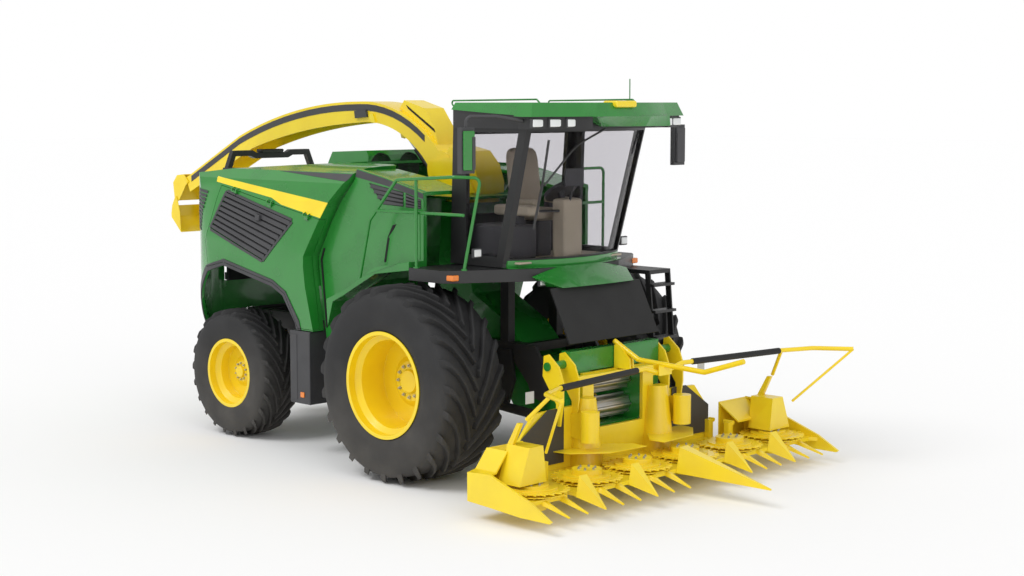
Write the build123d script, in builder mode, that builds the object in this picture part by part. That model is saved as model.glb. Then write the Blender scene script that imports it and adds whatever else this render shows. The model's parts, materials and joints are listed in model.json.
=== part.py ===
import os
from math import atan2, cos, degrees, hypot, radians, sin

from build123d import *

os.makedirs("parts", exist_ok=True)

# The self-propelled forage harvester with its rotary maize header.
# Lengths are millimetres. Every outline is drawn in machine coordinates: x forward from the
# front axle, y to the machine's left and z up from the ground.

# Overall reach
FRONT_REACH = 3563.0
REAR_REACH = 6030.0
FRONT_AXLE_X = (REAR_REACH - FRONT_REACH) / 2
FRONT_AXLE = Vector(FRONT_AXLE_X, 0, 0)

# Clearances
PIN_GAP = 0.3
MOVING_GAP = 6.0

# Front drive wheels
DRIVE_RADIUS = 1034.0
DRIVE_WIDTH = 865.0
DRIVE_TRACK = 2921.0
DRIVE_SEAT_RADIUS = 533.0
DRIVE_FLANGE_RADIUS = 562.0
DRIVE_DISC_OFFSET = -10.0
DRIVE_SPINDLE_RADIUS = 130.0

# Rear steered wheels
STEER_AXLE_X = -3273.0
STEER_RADIUS = 757.0
STEER_WIDTH = 540.0
STEER_TRACK = 2280.0
STEER_SEAT_RADIUS = 381.0
STEER_FLANGE_RADIUS = 408.0
STEER_DISC_OFFSET = 30.0
STEER_SPINDLE_RADIUS = 60.0
KINGPIN_INSET = 300.0
KINGPIN_Y = STEER_TRACK / 2 - KINGPIN_INSET
KINGPIN_RADIUS = 35.0
STEER_ARM_X = 180.0

# Chassis rails, which end inside the rear body
BODY_REAR_X = -4200.0
RAIL_REAR = BODY_REAR_X + 50.0
RAIL_INNER = 330.0
RAIL_OUTER = 430.0
RAIL_BOTTOM = 1190.0
RAIL_TOP = 1390.0
RAIL_FRONT = 700.0

# Intake and header lift
INTAKE_PIVOT_X = 950.0
INTAKE_PIVOT_Z = 950.0
INTAKE_PIN_RADIUS = 60.0
INTAKE_SIDE_INNER = 400.0
INTAKE_SIDE_OUTER = 440.0
LIFT_BARREL_X = 350.0
LIFT_BARREL_Z = 720.0
LIFT_EYE_X = 1400.0
LIFT_EYE_Z = 640.0
LIFT_Y = 545.0
LIFT_PIN_RADIUS = 30.0
LIFT_LUG_OUTER = 470.0

# Rear body
BODY_HALF_WIDTH = 1500.0
BODY_BOTTOM_Z = 1180.0
BODY_CORNER_RADIUS = 860.0
BODY_SKIN = 30.0
DOOR_GAP = 6.0
DOOR_INNER_Y = 1350.0
BOX_TOP = 1400.0
DOOR_REAR_Z = 2978.0
DOOR_FRONT_Z = 2650.0
DOOR_HINGE_REAR = Vector(-3300, 1439, 2958)
DOOR_HINGE_FRONT = Vector(-1400, 1482, 2630)
DOOR_HINGE_RADIUS = 13.0
DOOR_PIN_RADIUS = 6.0

# Cab
CAB_HALF_WIDTH = 900.0
CAB_REAR_X = 20.0
CAB_FLOOR_Z = 2240.0
CAB_SILL_Z = 2281.0
CAB_TOP_Z = 3690.0
CAB_FRAME = 55.0
GLASS = 8.0

# Spout
SPOUT_X = -560.0
SPOUT_BASE_Z = 2900.0
DECK_TOP = 2930.0
DECK_THICKNESS = 30.0
DECK_HALF_WIDTH = 700.0
SPOUT_HALF_WIDTH = 200.0
SPOUT_WALL = 8.0
TURN_RADIUS = 300.0
SPOUT_PIVOT_X = -880.0
SPOUT_PIVOT_Z = 3195.0

# Header
ROTOR_PITCH = 762.8
ROTOR_X = 2190.0
ROTOR_RADIUS = 356.0
ROTOR_Z = 300.0
WING_HINGE_Y = 2 * ROTOR_PITCH
WING_HINGE_Z = 450.0

# Work planes through the front axle's ground point
SIDE = Plane(origin=FRONT_AXLE, x_dir=(1, 0, 0), z_dir=(0, -1, 0))
FACE = Plane(origin=FRONT_AXLE, x_dir=(0, 1, 0), z_dir=(1, 0, 0))
GROUND = Plane(origin=FRONT_AXLE)

SIDES = {"left": 1, "right": -1}


def side_plate(outline, y_low, y_high, mode=Mode.ADD):
    """A plate with an (x, z) outline, between two widths."""
    with BuildSketch(SIDE.offset(-y_high), mode=Mode.PRIVATE) as shape:
        with BuildLine():
            Polyline(*outline, close=True)
        make_face()
    extrude(shape.sketch, amount=y_high - y_low, mode=mode)


def cross_plate(outline, x_low, x_high, mode=Mode.ADD):
    """A plate with a (y, z) outline, between two stations along the machine."""
    with BuildSketch(FACE.offset(x_low), mode=Mode.PRIVATE) as shape:
        with BuildLine():
            Polyline(*outline, close=True)
        make_face()
    extrude(shape.sketch, amount=x_high - x_low, mode=mode)


def flat_plate(outline, z_low, z_high, mode=Mode.ADD):
    """A plate with an (x, y) outline, between two heights."""
    with BuildSketch(GROUND.offset(z_low), mode=Mode.PRIVATE) as shape:
        with BuildLine():
            Polyline(*outline, close=True)
        make_face()
    extrude(shape.sketch, amount=z_high - z_low, mode=mode)


def block(x_low, x_high, y_low, y_high, z_low, z_high, mode=Mode.ADD):
    """A straight block between three pairs of faces."""
    outline = [(x_low, y_low), (x_high, y_low), (x_high, y_high), (x_low, y_high)]
    flat_plate(outline, z_low, z_high, mode)


def bar(start, end, radius, mode=Mode.ADD):
    """A round bar between two points."""
    first = FRONT_AXLE + Vector(*start)
    last = FRONT_AXLE + Vector(*end)
    axis = last - first
    with BuildSketch(Plane(origin=first, z_dir=axis), mode=Mode.PRIVATE) as ring:
        Circle(radius)
    extrude(ring.sketch, amount=axis.length, mode=mode)


def bent_tube(points, radius, bend):
    """A round tube along a route with equal bends."""
    route = [FRONT_AXLE + Vector(*point) for point in points]
    with BuildLine(mode=Mode.PRIVATE) as path:
        FilletPolyline(*route, radius=bend)
    with BuildSketch(Plane(origin=path.line @ 0, z_dir=path.line % 0), mode=Mode.PRIVATE) as ring:
        Circle(radius)
    sweep(ring.sketch, path.line)


def cross_bar(x, z, radius, y_low, y_high, mode=Mode.ADD):
    """A round bar or bore across the machine."""
    bar((x, y_low, z), (x, y_high, z), radius, mode)


def disc_plane(x, y, z, side):
    """A sketch plane for wheel sections: x is the distance outward, y is the radius."""
    origin = FRONT_AXLE + Vector(x, y, z)
    return Plane(origin=origin, x_dir=(0, side, 0), z_dir=(side, 0, 0))


def finish(piece, label):
    piece.part.label = label
    export_step(piece.part, f"parts/{label}.step")


# Drive and steered tyres, and their rims
# columns: name, axle x, centre y, tyre radius, width, seat radius, flange radius,
# disc offset, spindle radius, hub radius
WHEELS = [
    ("front", 0.0, DRIVE_TRACK / 2, DRIVE_RADIUS, DRIVE_WIDTH, DRIVE_SEAT_RADIUS,
     DRIVE_FLANGE_RADIUS, DRIVE_DISC_OFFSET, DRIVE_SPINDLE_RADIUS, 210.0),
    ("rear", STEER_AXLE_X, STEER_TRACK / 2, STEER_RADIUS, STEER_WIDTH, STEER_SEAT_RADIUS,
     STEER_FLANGE_RADIUS, STEER_DISC_OFFSET, STEER_SPINDLE_RADIUS, 120.0),
]
RIM_WALL = 12.0
FLANGE_INSET = 25.0
RIM_WELL = 60.0
DISC_THICKNESS = 22.0
HUB_CAP_REACH = 55.0

for axle, axle_x, centre_y, radius, width, seat, flange, offset_y, spindle, hub in WHEELS:
    for side_name, side in SIDES.items():
        half = width / 2
        hub_plane = disc_plane(axle_x, side * centre_y, radius, side)
        wheel_axis = Axis(hub_plane.origin, (0, side, 0))

        # Tyre: a hollow carcass that sits on the rim's two bead seats
        with BuildPart() as tyre:
            with BuildSketch(hub_plane):
                with BuildLine():
                    bead = half - FLANGE_INSET - RIM_WALL - PIN_GAP
                    shoulder = 0.86 * radius
                    Line((-bead + 70, seat + PIN_GAP), (-bead, seat + PIN_GAP))
                    Line((-bead, seat + PIN_GAP), (-bead, flange + 2))
                    ThreePointArc((-bead, flange + 2), (-half, (flange + shoulder) / 2),
                                  (-half + 25, shoulder))
                    Line((-half + 25, shoulder), (-half + 45, radius - 12))
                    ThreePointArc((-half + 45, radius - 12), (0, radius), (half - 45, radius - 12))
                    Line((half - 45, radius - 12), (half - 25, shoulder))
                    ThreePointArc((half - 25, shoulder), (half, (flange + shoulder) / 2),
                                  (bead, flange + 2))
                    Line((bead, flange + 2), (bead, seat + PIN_GAP))
                    Line((bead, seat + PIN_GAP), (bead - 70, seat + PIN_GAP))
                    Line((bead - 70, seat + PIN_GAP), (bead - 20, shoulder - 60))
                    ThreePointArc((bead - 20, shoulder - 60), (0, radius - 80),
                                  (-bead + 20, shoulder - 60))
                    Line((-bead + 20, shoulder - 60), (-bead + 70, seat + PIN_GAP))
                make_face()
            revolve(axis=wheel_axis)
        finish(tyre, f"{axle}_tyre_{side_name}")

        # Rim: flanges, seats and well in one section, with the dished disc and the hub
        with BuildPart() as rim:
            with BuildSketch(hub_plane):
                with BuildLine():
                    edge = half - FLANGE_INSET
                    Polyline((-edge, flange), (-edge, seat - RIM_WALL), (-edge + 85, seat - RIM_WALL),
                             (-edge + 125, seat - RIM_WELL - RIM_WALL),
                             (edge - 125, seat - RIM_WELL - RIM_WALL), (edge - 85, seat - RIM_WALL),
                             (edge, seat - RIM_WALL), (edge, flange), (edge - RIM_WALL, flange),
                             (edge - RIM_WALL, seat), (edge - 90, seat),
                             (edge - 130, seat - RIM_WELL), (-edge + 130, seat - RIM_WELL),
                             (-edge + 90, seat), (-edge + RIM_WALL, seat),
                             (-edge + RIM_WALL, flange), close=True)
                make_face()
            revolve(axis=wheel_axis)
            with BuildSketch(hub_plane):
                with BuildLine():
                    well = seat - RIM_WELL - RIM_WALL / 2
                    Polyline((offset_y, 0), (offset_y + HUB_CAP_REACH, 0),
                             (offset_y + HUB_CAP_REACH, 0.55 * hub),
                             (offset_y + DISC_THICKNESS, 0.62 * hub),
                             (offset_y + DISC_THICKNESS, hub),
                             (offset_y + DISC_THICKNESS - 40, hub + 60),
                             (offset_y + DISC_THICKNESS - 40, well),
                             (offset_y - 40, well), (offset_y - 40, hub + 50),
                             (offset_y, hub), (offset_y - 150, hub), (offset_y - 150, 0),
                             close=True)
                make_face()
            revolve(axis=wheel_axis)
            bore_end = FRONT_AXLE + Vector(axle_x, side * (centre_y + offset_y - 150), radius)
            with BuildSketch(Plane(origin=bore_end, z_dir=(0, side, 0))):
                Circle(spindle + PIN_GAP)
            extrude(amount=150, mode=Mode.SUBTRACT)
        finish(rim, f"{axle}_rim_{side_name}")

# Front axle: tube, final drives and spindles, with pads under the rails
AXLE_TUBE_RADIUS = 150.0
FINAL_DRIVE_RADIUS = 250.0
spindle_end = DRIVE_TRACK / 2 + DRIVE_DISC_OFFSET - MOVING_GAP
with BuildPart() as front_axle:
    cross_bar(0, DRIVE_RADIUS, AXLE_TUBE_RADIUS, -900, 900)
    for side in SIDES.values():
        low, high = sorted((side * 800, side * 1010))
        cross_bar(0, DRIVE_RADIUS, FINAL_DRIVE_RADIUS, low, high)
        low, high = sorted((side * 1000, side * spindle_end))
        cross_bar(0, DRIVE_RADIUS, DRIVE_SPINDLE_RADIUS, low, high)
        low, high = sorted((side * RAIL_INNER, side * RAIL_OUTER))
        block(-160, 160, low, high, DRIVE_RADIUS, RAIL_BOTTOM)
    block(-280, -100, -220, 220, DRIVE_RADIUS - 190, DRIVE_RADIUS + 130)
finish(front_axle, "front_axle")

# Rear axle: box beam with kingpin bosses and the steering cylinder in front of it
BEAM_BOTTOM = 660.0
BEAM_TOP = 860.0
BOSS_RADIUS = 75.0
STEER_BARREL_RADIUS = 48.0
STEER_ROD_RADIUS = 22.0
STEER_BARREL_HALF = 260.0
STEER_BAR_Z = 585.0
with BuildPart() as rear_axle:
    beam_outline = [(-KINGPIN_Y, BEAM_BOTTOM), (KINGPIN_Y, BEAM_BOTTOM), (KINGPIN_Y, BEAM_TOP - 20),
                    (300, BEAM_TOP), (-300, BEAM_TOP), (-KINGPIN_Y, BEAM_TOP - 20)]
    cross_plate(beam_outline, STEER_AXLE_X - 70, STEER_AXLE_X + 70)
    for side in SIDES.values():
        pin_x = STEER_AXLE_X
        bar((pin_x, side * KINGPIN_Y, BEAM_BOTTOM), (pin_x, side * KINGPIN_Y, BEAM_TOP), BOSS_RADIUS)
    for side in SIDES.values():
        bar((pin_x, side * KINGPIN_Y, BEAM_BOTTOM), (pin_x, side * KINGPIN_Y, BEAM_TOP),
            KINGPIN_RADIUS + PIN_GAP, Mode.SUBTRACT)
    arm_x = STEER_AXLE_X + STEER_ARM_X
    cross_bar(arm_x, STEER_BAR_Z, STEER_BARREL_RADIUS, -STEER_BARREL_HALF, STEER_BARREL_HALF)
    block(STEER_AXLE_X, arm_x, -90, 90, STEER_BAR_Z + 20, BEAM_BOTTOM + 40)
    cross_bar(arm_x, STEER_BAR_Z, STEER_ROD_RADIUS + PIN_GAP, -STEER_BARREL_HALF,
              STEER_BARREL_HALF, Mode.SUBTRACT)
finish(rear_axle, "rear_axle")

# Steering rod through its cylinder, with an eye at each end
with BuildPart() as steering_rod:
    cross_bar(arm_x, STEER_BAR_Z, STEER_ROD_RADIUS, -KINGPIN_Y + 60, KINGPIN_Y - 60)
    for side in SIDES.values():
        bar((arm_x, side * (KINGPIN_Y - 60), STEER_BAR_Z - 27),
            (arm_x, side * (KINGPIN_Y - 60), STEER_BAR_Z + 27), 36)
finish(steering_rod, "steering_rod")

# Knuckles: two ears round the boss, the web, the kingpin, the spindle and the steering arm
EAR_THICKNESS = 38.0
for side_name, side in SIDES.items():
    with BuildPart() as knuckle:
        centre = side * KINGPIN_Y
        web_near = side * (KINGPIN_Y + BOSS_RADIUS + MOVING_GAP)
        web_far = side * (KINGPIN_Y + BOSS_RADIUS + MOVING_GAP + 45)
        low, high = sorted((web_near, web_far))
        ear_low = BEAM_BOTTOM - MOVING_GAP - EAR_THICKNESS
        ear_high = BEAM_TOP + MOVING_GAP + EAR_THICKNESS
        block(STEER_AXLE_X - 85, STEER_AXLE_X + 85, low, high, ear_low, ear_high)
        for ear_z in (ear_low, BEAM_TOP + MOVING_GAP):
            bar((STEER_AXLE_X, centre, ear_z), (STEER_AXLE_X, centre, ear_z + EAR_THICKNESS),
                BOSS_RADIUS)
            low, high = sorted((centre, web_far))
            block(STEER_AXLE_X - BOSS_RADIUS, STEER_AXLE_X + BOSS_RADIUS, low, high, ear_z,
                  ear_z + EAR_THICKNESS)
        bar((STEER_AXLE_X, centre, ear_low), (STEER_AXLE_X, centre, ear_high), KINGPIN_RADIUS)
        low, high = sorted((web_far, side * (STEER_TRACK / 2 + STEER_DISC_OFFSET - MOVING_GAP)))
        cross_bar(STEER_AXLE_X, STEER_RADIUS, STEER_SPINDLE_RADIUS, low, high)
        arm_outline = [(STEER_AXLE_X, centre - side * 40), (arm_x, centre - side * 95),
                       (arm_x + 30, centre - side * 60), (arm_x, centre - side * 25),
                       (STEER_AXLE_X, centre + side * 40)]
        flat_plate(arm_outline, ear_low, ear_low + EAR_THICKNESS - 4)
    finish(knuckle, f"knuckle_{side_name}")

# Chassis: two rails, cross members, rear axle seat, intake trunnions and the tow hitch
HITCH_X = -4330.0
HITCH_PIN_RADIUS = 19.0
with BuildPart() as main_frame:
    for side in SIDES.values():
        low, high = sorted((side * RAIL_INNER, side * RAIL_OUTER))
        block(RAIL_REAR, RAIL_FRONT, low, high, RAIL_BOTTOM, RAIL_TOP)
        side_plate([(STEER_AXLE_X - 260, RAIL_BOTTOM), (STEER_AXLE_X - 110, BEAM_TOP),
                    (STEER_AXLE_X + 110, BEAM_TOP), (STEER_AXLE_X + 260, RAIL_BOTTOM)],
                   min(side * 200, side * 300), max(side * 200, side * 300))
        block(STEER_AXLE_X - 260, STEER_AXLE_X + 260, min(side * 200, side * RAIL_INNER),
              max(side * 200, side * RAIL_INNER), RAIL_BOTTOM, RAIL_BOTTOM + 60)
        # Trunnion bracket on the rail's outer face, with its pin
        trunnion_low, trunnion_high = sorted((side * (INTAKE_SIDE_OUTER + MOVING_GAP),
                                              side * (INTAKE_SIDE_OUTER + MOVING_GAP + 40)))
        side_plate([(560, RAIL_TOP), (560, RAIL_BOTTOM), (760, 980), (820, 840), (1020, 800),
                    (1080, 900), (1080, 1040), (860, RAIL_TOP)], trunnion_low, trunnion_high)
        low, high = sorted((side * (RAIL_OUTER + PIN_GAP), side * (INTAKE_SIDE_OUTER + MOVING_GAP)))
        block(560, RAIL_FRONT, low, high, RAIL_BOTTOM, RAIL_TOP)
        pin_low, pin_high = sorted((side * INTAKE_SIDE_INNER, side * (INTAKE_SIDE_OUTER + MOVING_GAP)))
        cross_bar(INTAKE_PIVOT_X, INTAKE_PIVOT_Z, INTAKE_PIN_RADIUS, pin_low, pin_high)
        # Lift cylinder's lug on the rail, and the pin through it
        low, high = sorted((side * (RAIL_OUTER + PIN_GAP), side * LIFT_LUG_OUTER))
        side_plate([(LIFT_BARREL_X - 60, LIFT_BARREL_Z - 60), (LIFT_BARREL_X + 70, LIFT_BARREL_Z - 60),
                    (540, 1000), (480, RAIL_BOTTOM + 120), (LIFT_BARREL_X - 20, RAIL_BOTTOM + 120)],
                   low, high)
        cross_bar(LIFT_BARREL_X, LIFT_BARREL_Z, LIFT_PIN_RADIUS + PIN_GAP, low, high, Mode.SUBTRACT)
        pin_low, pin_high = sorted((side * RAIL_OUTER, side * (LIFT_Y + 45)))
        cross_bar(LIFT_BARREL_X, LIFT_BARREL_Z, LIFT_PIN_RADIUS, pin_low, pin_high)
    for cross_x in (RAIL_REAR, -2300, -1100):
        block(cross_x, cross_x + 90, -RAIL_INNER, RAIL_INNER, RAIL_BOTTOM + 30, RAIL_TOP - 30)
    block(RAIL_FRONT - 80, RAIL_FRONT, -RAIL_INNER, RAIL_INNER, RAIL_TOP - 90, RAIL_TOP)
    # Tow hitch on a drop plate
    side_plate([(RAIL_REAR, RAIL_TOP), (RAIL_REAR - 60, RAIL_TOP), (RAIL_REAR - 60, 640),
                (RAIL_REAR, 640)], -300, 300)
    block(HITCH_X - 40, RAIL_REAR - 60, -70, 70, 690, 730)
    block(HITCH_X - 40, RAIL_REAR - 60, -70, 70, 790, 830)
    bar((HITCH_X, 0, 680), (HITCH_X, 0, 840), HITCH_PIN_RADIUS, Mode.SUBTRACT)
finish(main_frame, "main_frame")

# Crop channel: cutterhead drum housing and the duct that rises over the axle to the spout
CHANNEL_HALF = 300.0
with BuildPart() as crop_channel:
    cross_bar(620, 900, 330, -CHANNEL_HALF, CHANNEL_HALF)
    side_plate([(620, 1230), (620, 900), (300, 1100), (260, RAIL_BOTTOM + 10), (-350, 1430),
                (-800, 1500), (-800, 2100), (-740, SPOUT_BASE_Z - 60), (-380, SPOUT_BASE_Z - 60),
                (-330, 2100), (-250, 1850), (300, 1560)], -CHANNEL_HALF, CHANNEL_HALF)
    # Seats on the rails
    block(-800, -560, -RAIL_INNER, RAIL_INNER, 1500, 1560)
    block(-760, -600, -RAIL_OUTER, RAIL_OUTER, RAIL_TOP, 1520)
finish(crop_channel, "crop_channel")

# Engine: one plain block across the machine on the rails
ENGINE_TOP = 2450.0
with BuildPart() as engine:
    block(-2950, -1950, -620, 620, RAIL_TOP, ENGINE_TOP)
finish(engine, "engine_block")

# Rear body, from three outlines that are trimmed to each other
# columns: x, z
BODY_SIDE = [(BODY_REAR_X + 20, BODY_BOTTOM_Z), (BODY_REAR_X, 1900), (BODY_REAR_X + 90, 3080),
             (-3210, 3170), (-1250, 3295), (-1050, 3240), (-1095, 3110), (-1330, 2870), (-1500, 2620),
             (-1720, 2240), (-1720, 2120), (-1604, 1400), (-1800, 1330)]
# columns: y, z
BODY_SECTION = [(1420, BODY_BOTTOM_Z - 200), (BODY_HALF_WIDTH, 1900), (1490, 2300), (1440, 2850),
                (1395, 3060), (1300, 3170), (1120, 3225), (0, 3300)]
# columns: x, z
ARCH = [(-4080, 800), (-4060, 1250), (-3900, 1560), (-3660, 1800), (-3500, 1960), (-3180, 2050),
        (-2270, 1870), (-2090, 1780), (-1900, 1480), (-1840, 1100), (-1840, 800)]
# columns: x, z
DOOR = [(-3300, DOOR_REAR_Z), (-1400, DOOR_FRONT_Z), (-1500, 2560), (-1690, 2240), (-1690, 2120),
        (-1590, 1420), (-1860, 1420), (-2050, 1800), (-2250, 1905), (-3170, 2085), (-3500, 2010),
        (-3560, 2300)]


def body_form(inset):
    """The closed outer form of the rear body, drawn in by a distance on every side."""
    with BuildPart(mode=Mode.PRIVATE) as form:
        with BuildSketch(SIDE):
            with BuildLine():
                Polyline(*BODY_SIDE, close=True)
            make_face()
            if inset:
                offset(amount=-inset, kind=Kind.INTERSECTION)
        extrude(amount=BODY_HALF_WIDTH, both=True)
        with BuildSketch(FACE.offset(BODY_REAR_X - 50)):
            with BuildLine():
                half_section = [(y - inset, z if z < 3000 else z - inset) for y, z in BODY_SECTION[:-1]]
                mirrored = [(-y, z) for y, z in reversed(half_section)]
                Polyline(*half_section, (0, 3300 - inset), *mirrored, close=True)
            make_face()
        extrude(amount=5000, mode=Mode.INTERSECT)
        with BuildSketch(GROUND.offset(BODY_BOTTOM_Z - 400)):
            with BuildLine():
                half = BODY_HALF_WIDTH - inset
                Polyline((BODY_REAR_X + inset, -half), (-700, -half), (-700, half),
                         (BODY_REAR_X + inset, half), close=True)
            make_face()
            rear_corners = vertices().group_by(Axis.X)[0]
            fillet(rear_corners, BODY_CORNER_RADIUS - inset)
        extrude(amount=3000, mode=Mode.INTERSECT)
    return form.part


outer_form = body_form(0)
inner_form = body_form(BODY_SKIN)
GRILLE = [(-3170, 2900), (-3440, 2468), (-2445, 2156), (-1947, 2620)]

DOOR_HINGE_SHARES = (0.15, 0.5, 0.85)
HINGE_BARREL = 60.0
HINGE_EAR = 14.0


def hinge_plane(side, share, shift):
    """A plane across the service door's hinge line: x outward, y up."""
    rear = Vector(DOOR_HINGE_REAR.X, side * DOOR_HINGE_REAR.Y, DOOR_HINGE_REAR.Z)
    front = Vector(DOOR_HINGE_FRONT.X, side * DOOR_HINGE_FRONT.Y, DOOR_HINGE_FRONT.Z)
    along = (front - rear).normalized()
    origin = FRONT_AXLE + rear + (front - rear) * share + along * shift
    return Plane(origin=origin, x_dir=(0, side, 0), z_dir=along * side)


with BuildPart() as hood_shell:
    add(outer_form)
    add(inner_form, mode=Mode.SUBTRACT)
    block(BODY_REAR_X + 300, -1300, -1300, 1300, 1000, 1900, Mode.SUBTRACT)
    side_plate(ARCH, -1600, 1600, Mode.SUBTRACT)
    side_plate(DOOR, DOOR_INNER_Y, 1600, Mode.SUBTRACT)
    side_plate(DOOR, -1600, -DOOR_INNER_Y, Mode.SUBTRACT)
    # Opening for the rear grille
    block(BODY_REAR_X - 60, BODY_REAR_X + 160, -760, 760, 1750, 2900, Mode.SUBTRACT)
    # Deck well in front of the intake housing
    block(-1840, -800, -DECK_HALF_WIDTH, DECK_HALF_WIDTH, DECK_TOP - DECK_THICKNESS, 3400,
          Mode.SUBTRACT)
    # Notch over the rails and room above the low boxes
    block(BODY_REAR_X - 60, BODY_REAR_X + 400, -RAIL_OUTER, RAIL_OUTER, 1000, RAIL_TOP, Mode.SUBTRACT)
    block(-2000, -1500, -1600, 1600, 1000, BOX_TOP + 10, Mode.SUBTRACT)
    # Ears and pins of the service doors' hinges
    for side in SIDES.values():
        for share in DOOR_HINGE_SHARES:
            for shift in (-HINGE_BARREL / 2 - HINGE_EAR - 2, HINGE_BARREL / 2 + 2):
                start = shift if side > 0 else shift + HINGE_EAR
                with BuildSketch(hinge_plane(side, share, start), mode=Mode.PRIVATE) as ear:
                    Circle(DOOR_HINGE_RADIUS)
                    Polygon((-4, 0), (13, 0), (13, 34), (-44, 62), (-44, 40), (-4, 30), align=None)
                extrude(ear.sketch, amount=HINGE_EAR)
            reach = HINGE_BARREL / 2 + HINGE_EAR
            with BuildSketch(hinge_plane(side, share, -side * reach), mode=Mode.PRIVATE) as pin:
                Circle(DOOR_PIN_RADIUS)
            extrude(pin.sketch, amount=2 * reach)
finish(hood_shell, "hood_shell")

with BuildPart() as rear_grille:
    for level in range(7):
        slat_z = 1760 + 160 * level
        block(BODY_REAR_X + 40, BODY_REAR_X + 80, -759.7, 759.7, slat_z, slat_z + 90)
    for post_y in (-759.7, -250, 210, 719.7):
        block(BODY_REAR_X + 80, BODY_REAR_X + 110, post_y, post_y + 40, 1750.3, 2899.7)
finish(rear_grille, "rear_grille")

for side_name, side in SIDES.items():
    with BuildPart() as door:
        add(outer_form)
        add(inner_form, mode=Mode.SUBTRACT)
        with BuildSketch(SIDE, mode=Mode.PRIVATE) as door_face:
            with BuildLine():
                Polyline(*DOOR, close=True)
            make_face()
            offset(amount=-DOOR_GAP, kind=Kind.INTERSECTION)
        extrude(door_face.sketch, amount=-side * 1600, mode=Mode.INTERSECT)
        door_inner = DOOR_INNER_Y + DOOR_GAP
        block(BODY_REAR_X, -1000, -door_inner, door_inner, 1000, 3400, Mode.SUBTRACT)
        side_plate(ARCH, -1600, 1600, Mode.SUBTRACT)
        side_plate(GRILLE, min(side * 1000, side * 1600), max(side * 1000, side * 1600),
                   Mode.SUBTRACT)
        for share in DOOR_HINGE_SHARES:
            start = hinge_plane(side, share, -side * HINGE_BARREL / 2)
            with BuildSketch(start, mode=Mode.PRIVATE) as barrel:
                Circle(DOOR_HINGE_RADIUS)
                Polygon((-36, -34), (-4, -34), (6, -6), (-4, -2), (-36, -12), align=None)
                Circle(DOOR_PIN_RADIUS + PIN_GAP, mode=Mode.SUBTRACT)
            extrude(barrel.sketch, amount=HINGE_BARREL)
    finish(door, f"service_door_{side_name}")

    with BuildPart() as side_grille:
        add(outer_form)
        with BuildPart(mode=Mode.PRIVATE) as core:
            add(body_form(22))
        add(core.part, mode=Mode.SUBTRACT)
        with BuildSketch(SIDE, mode=Mode.PRIVATE) as grille_face:
            with BuildLine():
                Polyline(*GRILLE, close=True)
            make_face()
            offset(amount=-PIN_GAP, kind=Kind.INTERSECTION)
        extrude(grille_face.sketch, amount=-side * 1600, mode=Mode.INTERSECT)
    finish(side_grille, f"side_grille_{side_name}")

# Deck: floor between the hood and the spout, and the intake housing with two round mouths
with BuildPart() as deck_housing:
    side_plate([(-2560, 3230), (-2480, 3360), (-1880, 3385), (-1840, 3330), (-1840, 2960),
                (-2100, 2960), (-2560, 2960)], -420, 420)
    for mouth_y in (-220, 220):
        bar((-1960, mouth_y, 3190), (-1800, mouth_y, 3190), 165, Mode.SUBTRACT)
    add(outer_form, mode=Mode.SUBTRACT)
    deck_half = DECK_HALF_WIDTH - PIN_GAP
    block(-1840 + PIN_GAP, 0, -deck_half, deck_half, DECK_TOP - DECK_THICKNESS, DECK_TOP)
    bar((SPOUT_X, 0, 2800), (SPOUT_X, 0, 3000), TURN_RADIUS + MOVING_GAP, Mode.SUBTRACT)
finish(deck_housing, "deck_housing")

# Flanks between the rear body and the cab: upright panel, shoulder and fender
FLANK_FRONT_X = CAB_REAR_X - PIN_GAP
for side_name, side in SIDES.items():
    if side > 0:
        flanks = BuildPart()
    with flanks:
        low, high = sorted((side * 1240, side * 1290))
        side_plate([(-1590, 1420), (-1560, 1250), (-1320, 1250), (-1210, 1780), (-1035, 1850),
                    (-509, 2130), (FLANK_FRONT_X, 2200), (FLANK_FRONT_X, 3000), (-580, 3140),
                    (-1025, 3225), (-1065, 3110), (-1300, 2860), (-1470, 2620), (-1690, 2240),
                    (-1690, 2120)], low, high)
        low, high = sorted((side * 1290, side * BODY_HALF_WIDTH))
        side_plate([(-1300, 1500), (-1210, 1780), (-1035, 1860), (-509, 2130), (FLANK_FRONT_X, 2200),
                    (FLANK_FRONT_X, 2290), (-509, 2200), (-1000, 1930), (-1320, 1800)], low, high)
        low, high = sorted((side * 705, side * 1240))
        side_plate([(-1020, 3205), (-580, 3140), (FLANK_FRONT_X, 3010), (FLANK_FRONT_X, 2970),
                    (-580, 3100), (-1020, 3165)], low, high)
finish(flanks, "flanks")

# Low boxes between the wheels, hung from the rails
BOX_INNER = 1080.0
BOX_OUTER = 1480.0
with BuildPart() as side_boxes:
    for side in SIDES.values():
        low, high = sorted((side * BOX_INNER, side * BOX_OUTER))
        block(-1990, -1640, low, high, 580, BOX_TOP)
        low, high = sorted((side * RAIL_OUTER, side * BOX_INNER))
        block(-1860, -1740, low, high, RAIL_BOTTOM + 40, RAIL_BOTTOM + 140)
finish(side_boxes, "side_boxes")

# Cab: base panel, glasshouse frame, glass, roof, door, seat and console
CAB_CORNER_LOW_X = 797.0
CAB_CENTRE_LOW_X = 1050.0
CAB_CORNER_HIGH_X = 1171.0
CAB_CENTRE_HIGH_X = 1424.0
CAB_REAR_HIGH_X = 100.0
CAB_HIGH_HALF_WIDTH = 930.0
CAB_DOOR_FRONT_LOW_X = 740.0
CAB_DOOR_FRONT_HIGH_X = 1100.0
CAB_DOOR_REAR_X = 190.0
CAB_DOOR_HINGE_X = 185.0
CAB_DOOR_HINGE_Y = 950.0
CAB_HINGE_HEIGHTS = (2480.0, 3400.0)
CAB_HINGE_PIN = 7.0
CAB_DOOR_GAP = 16.0


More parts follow.
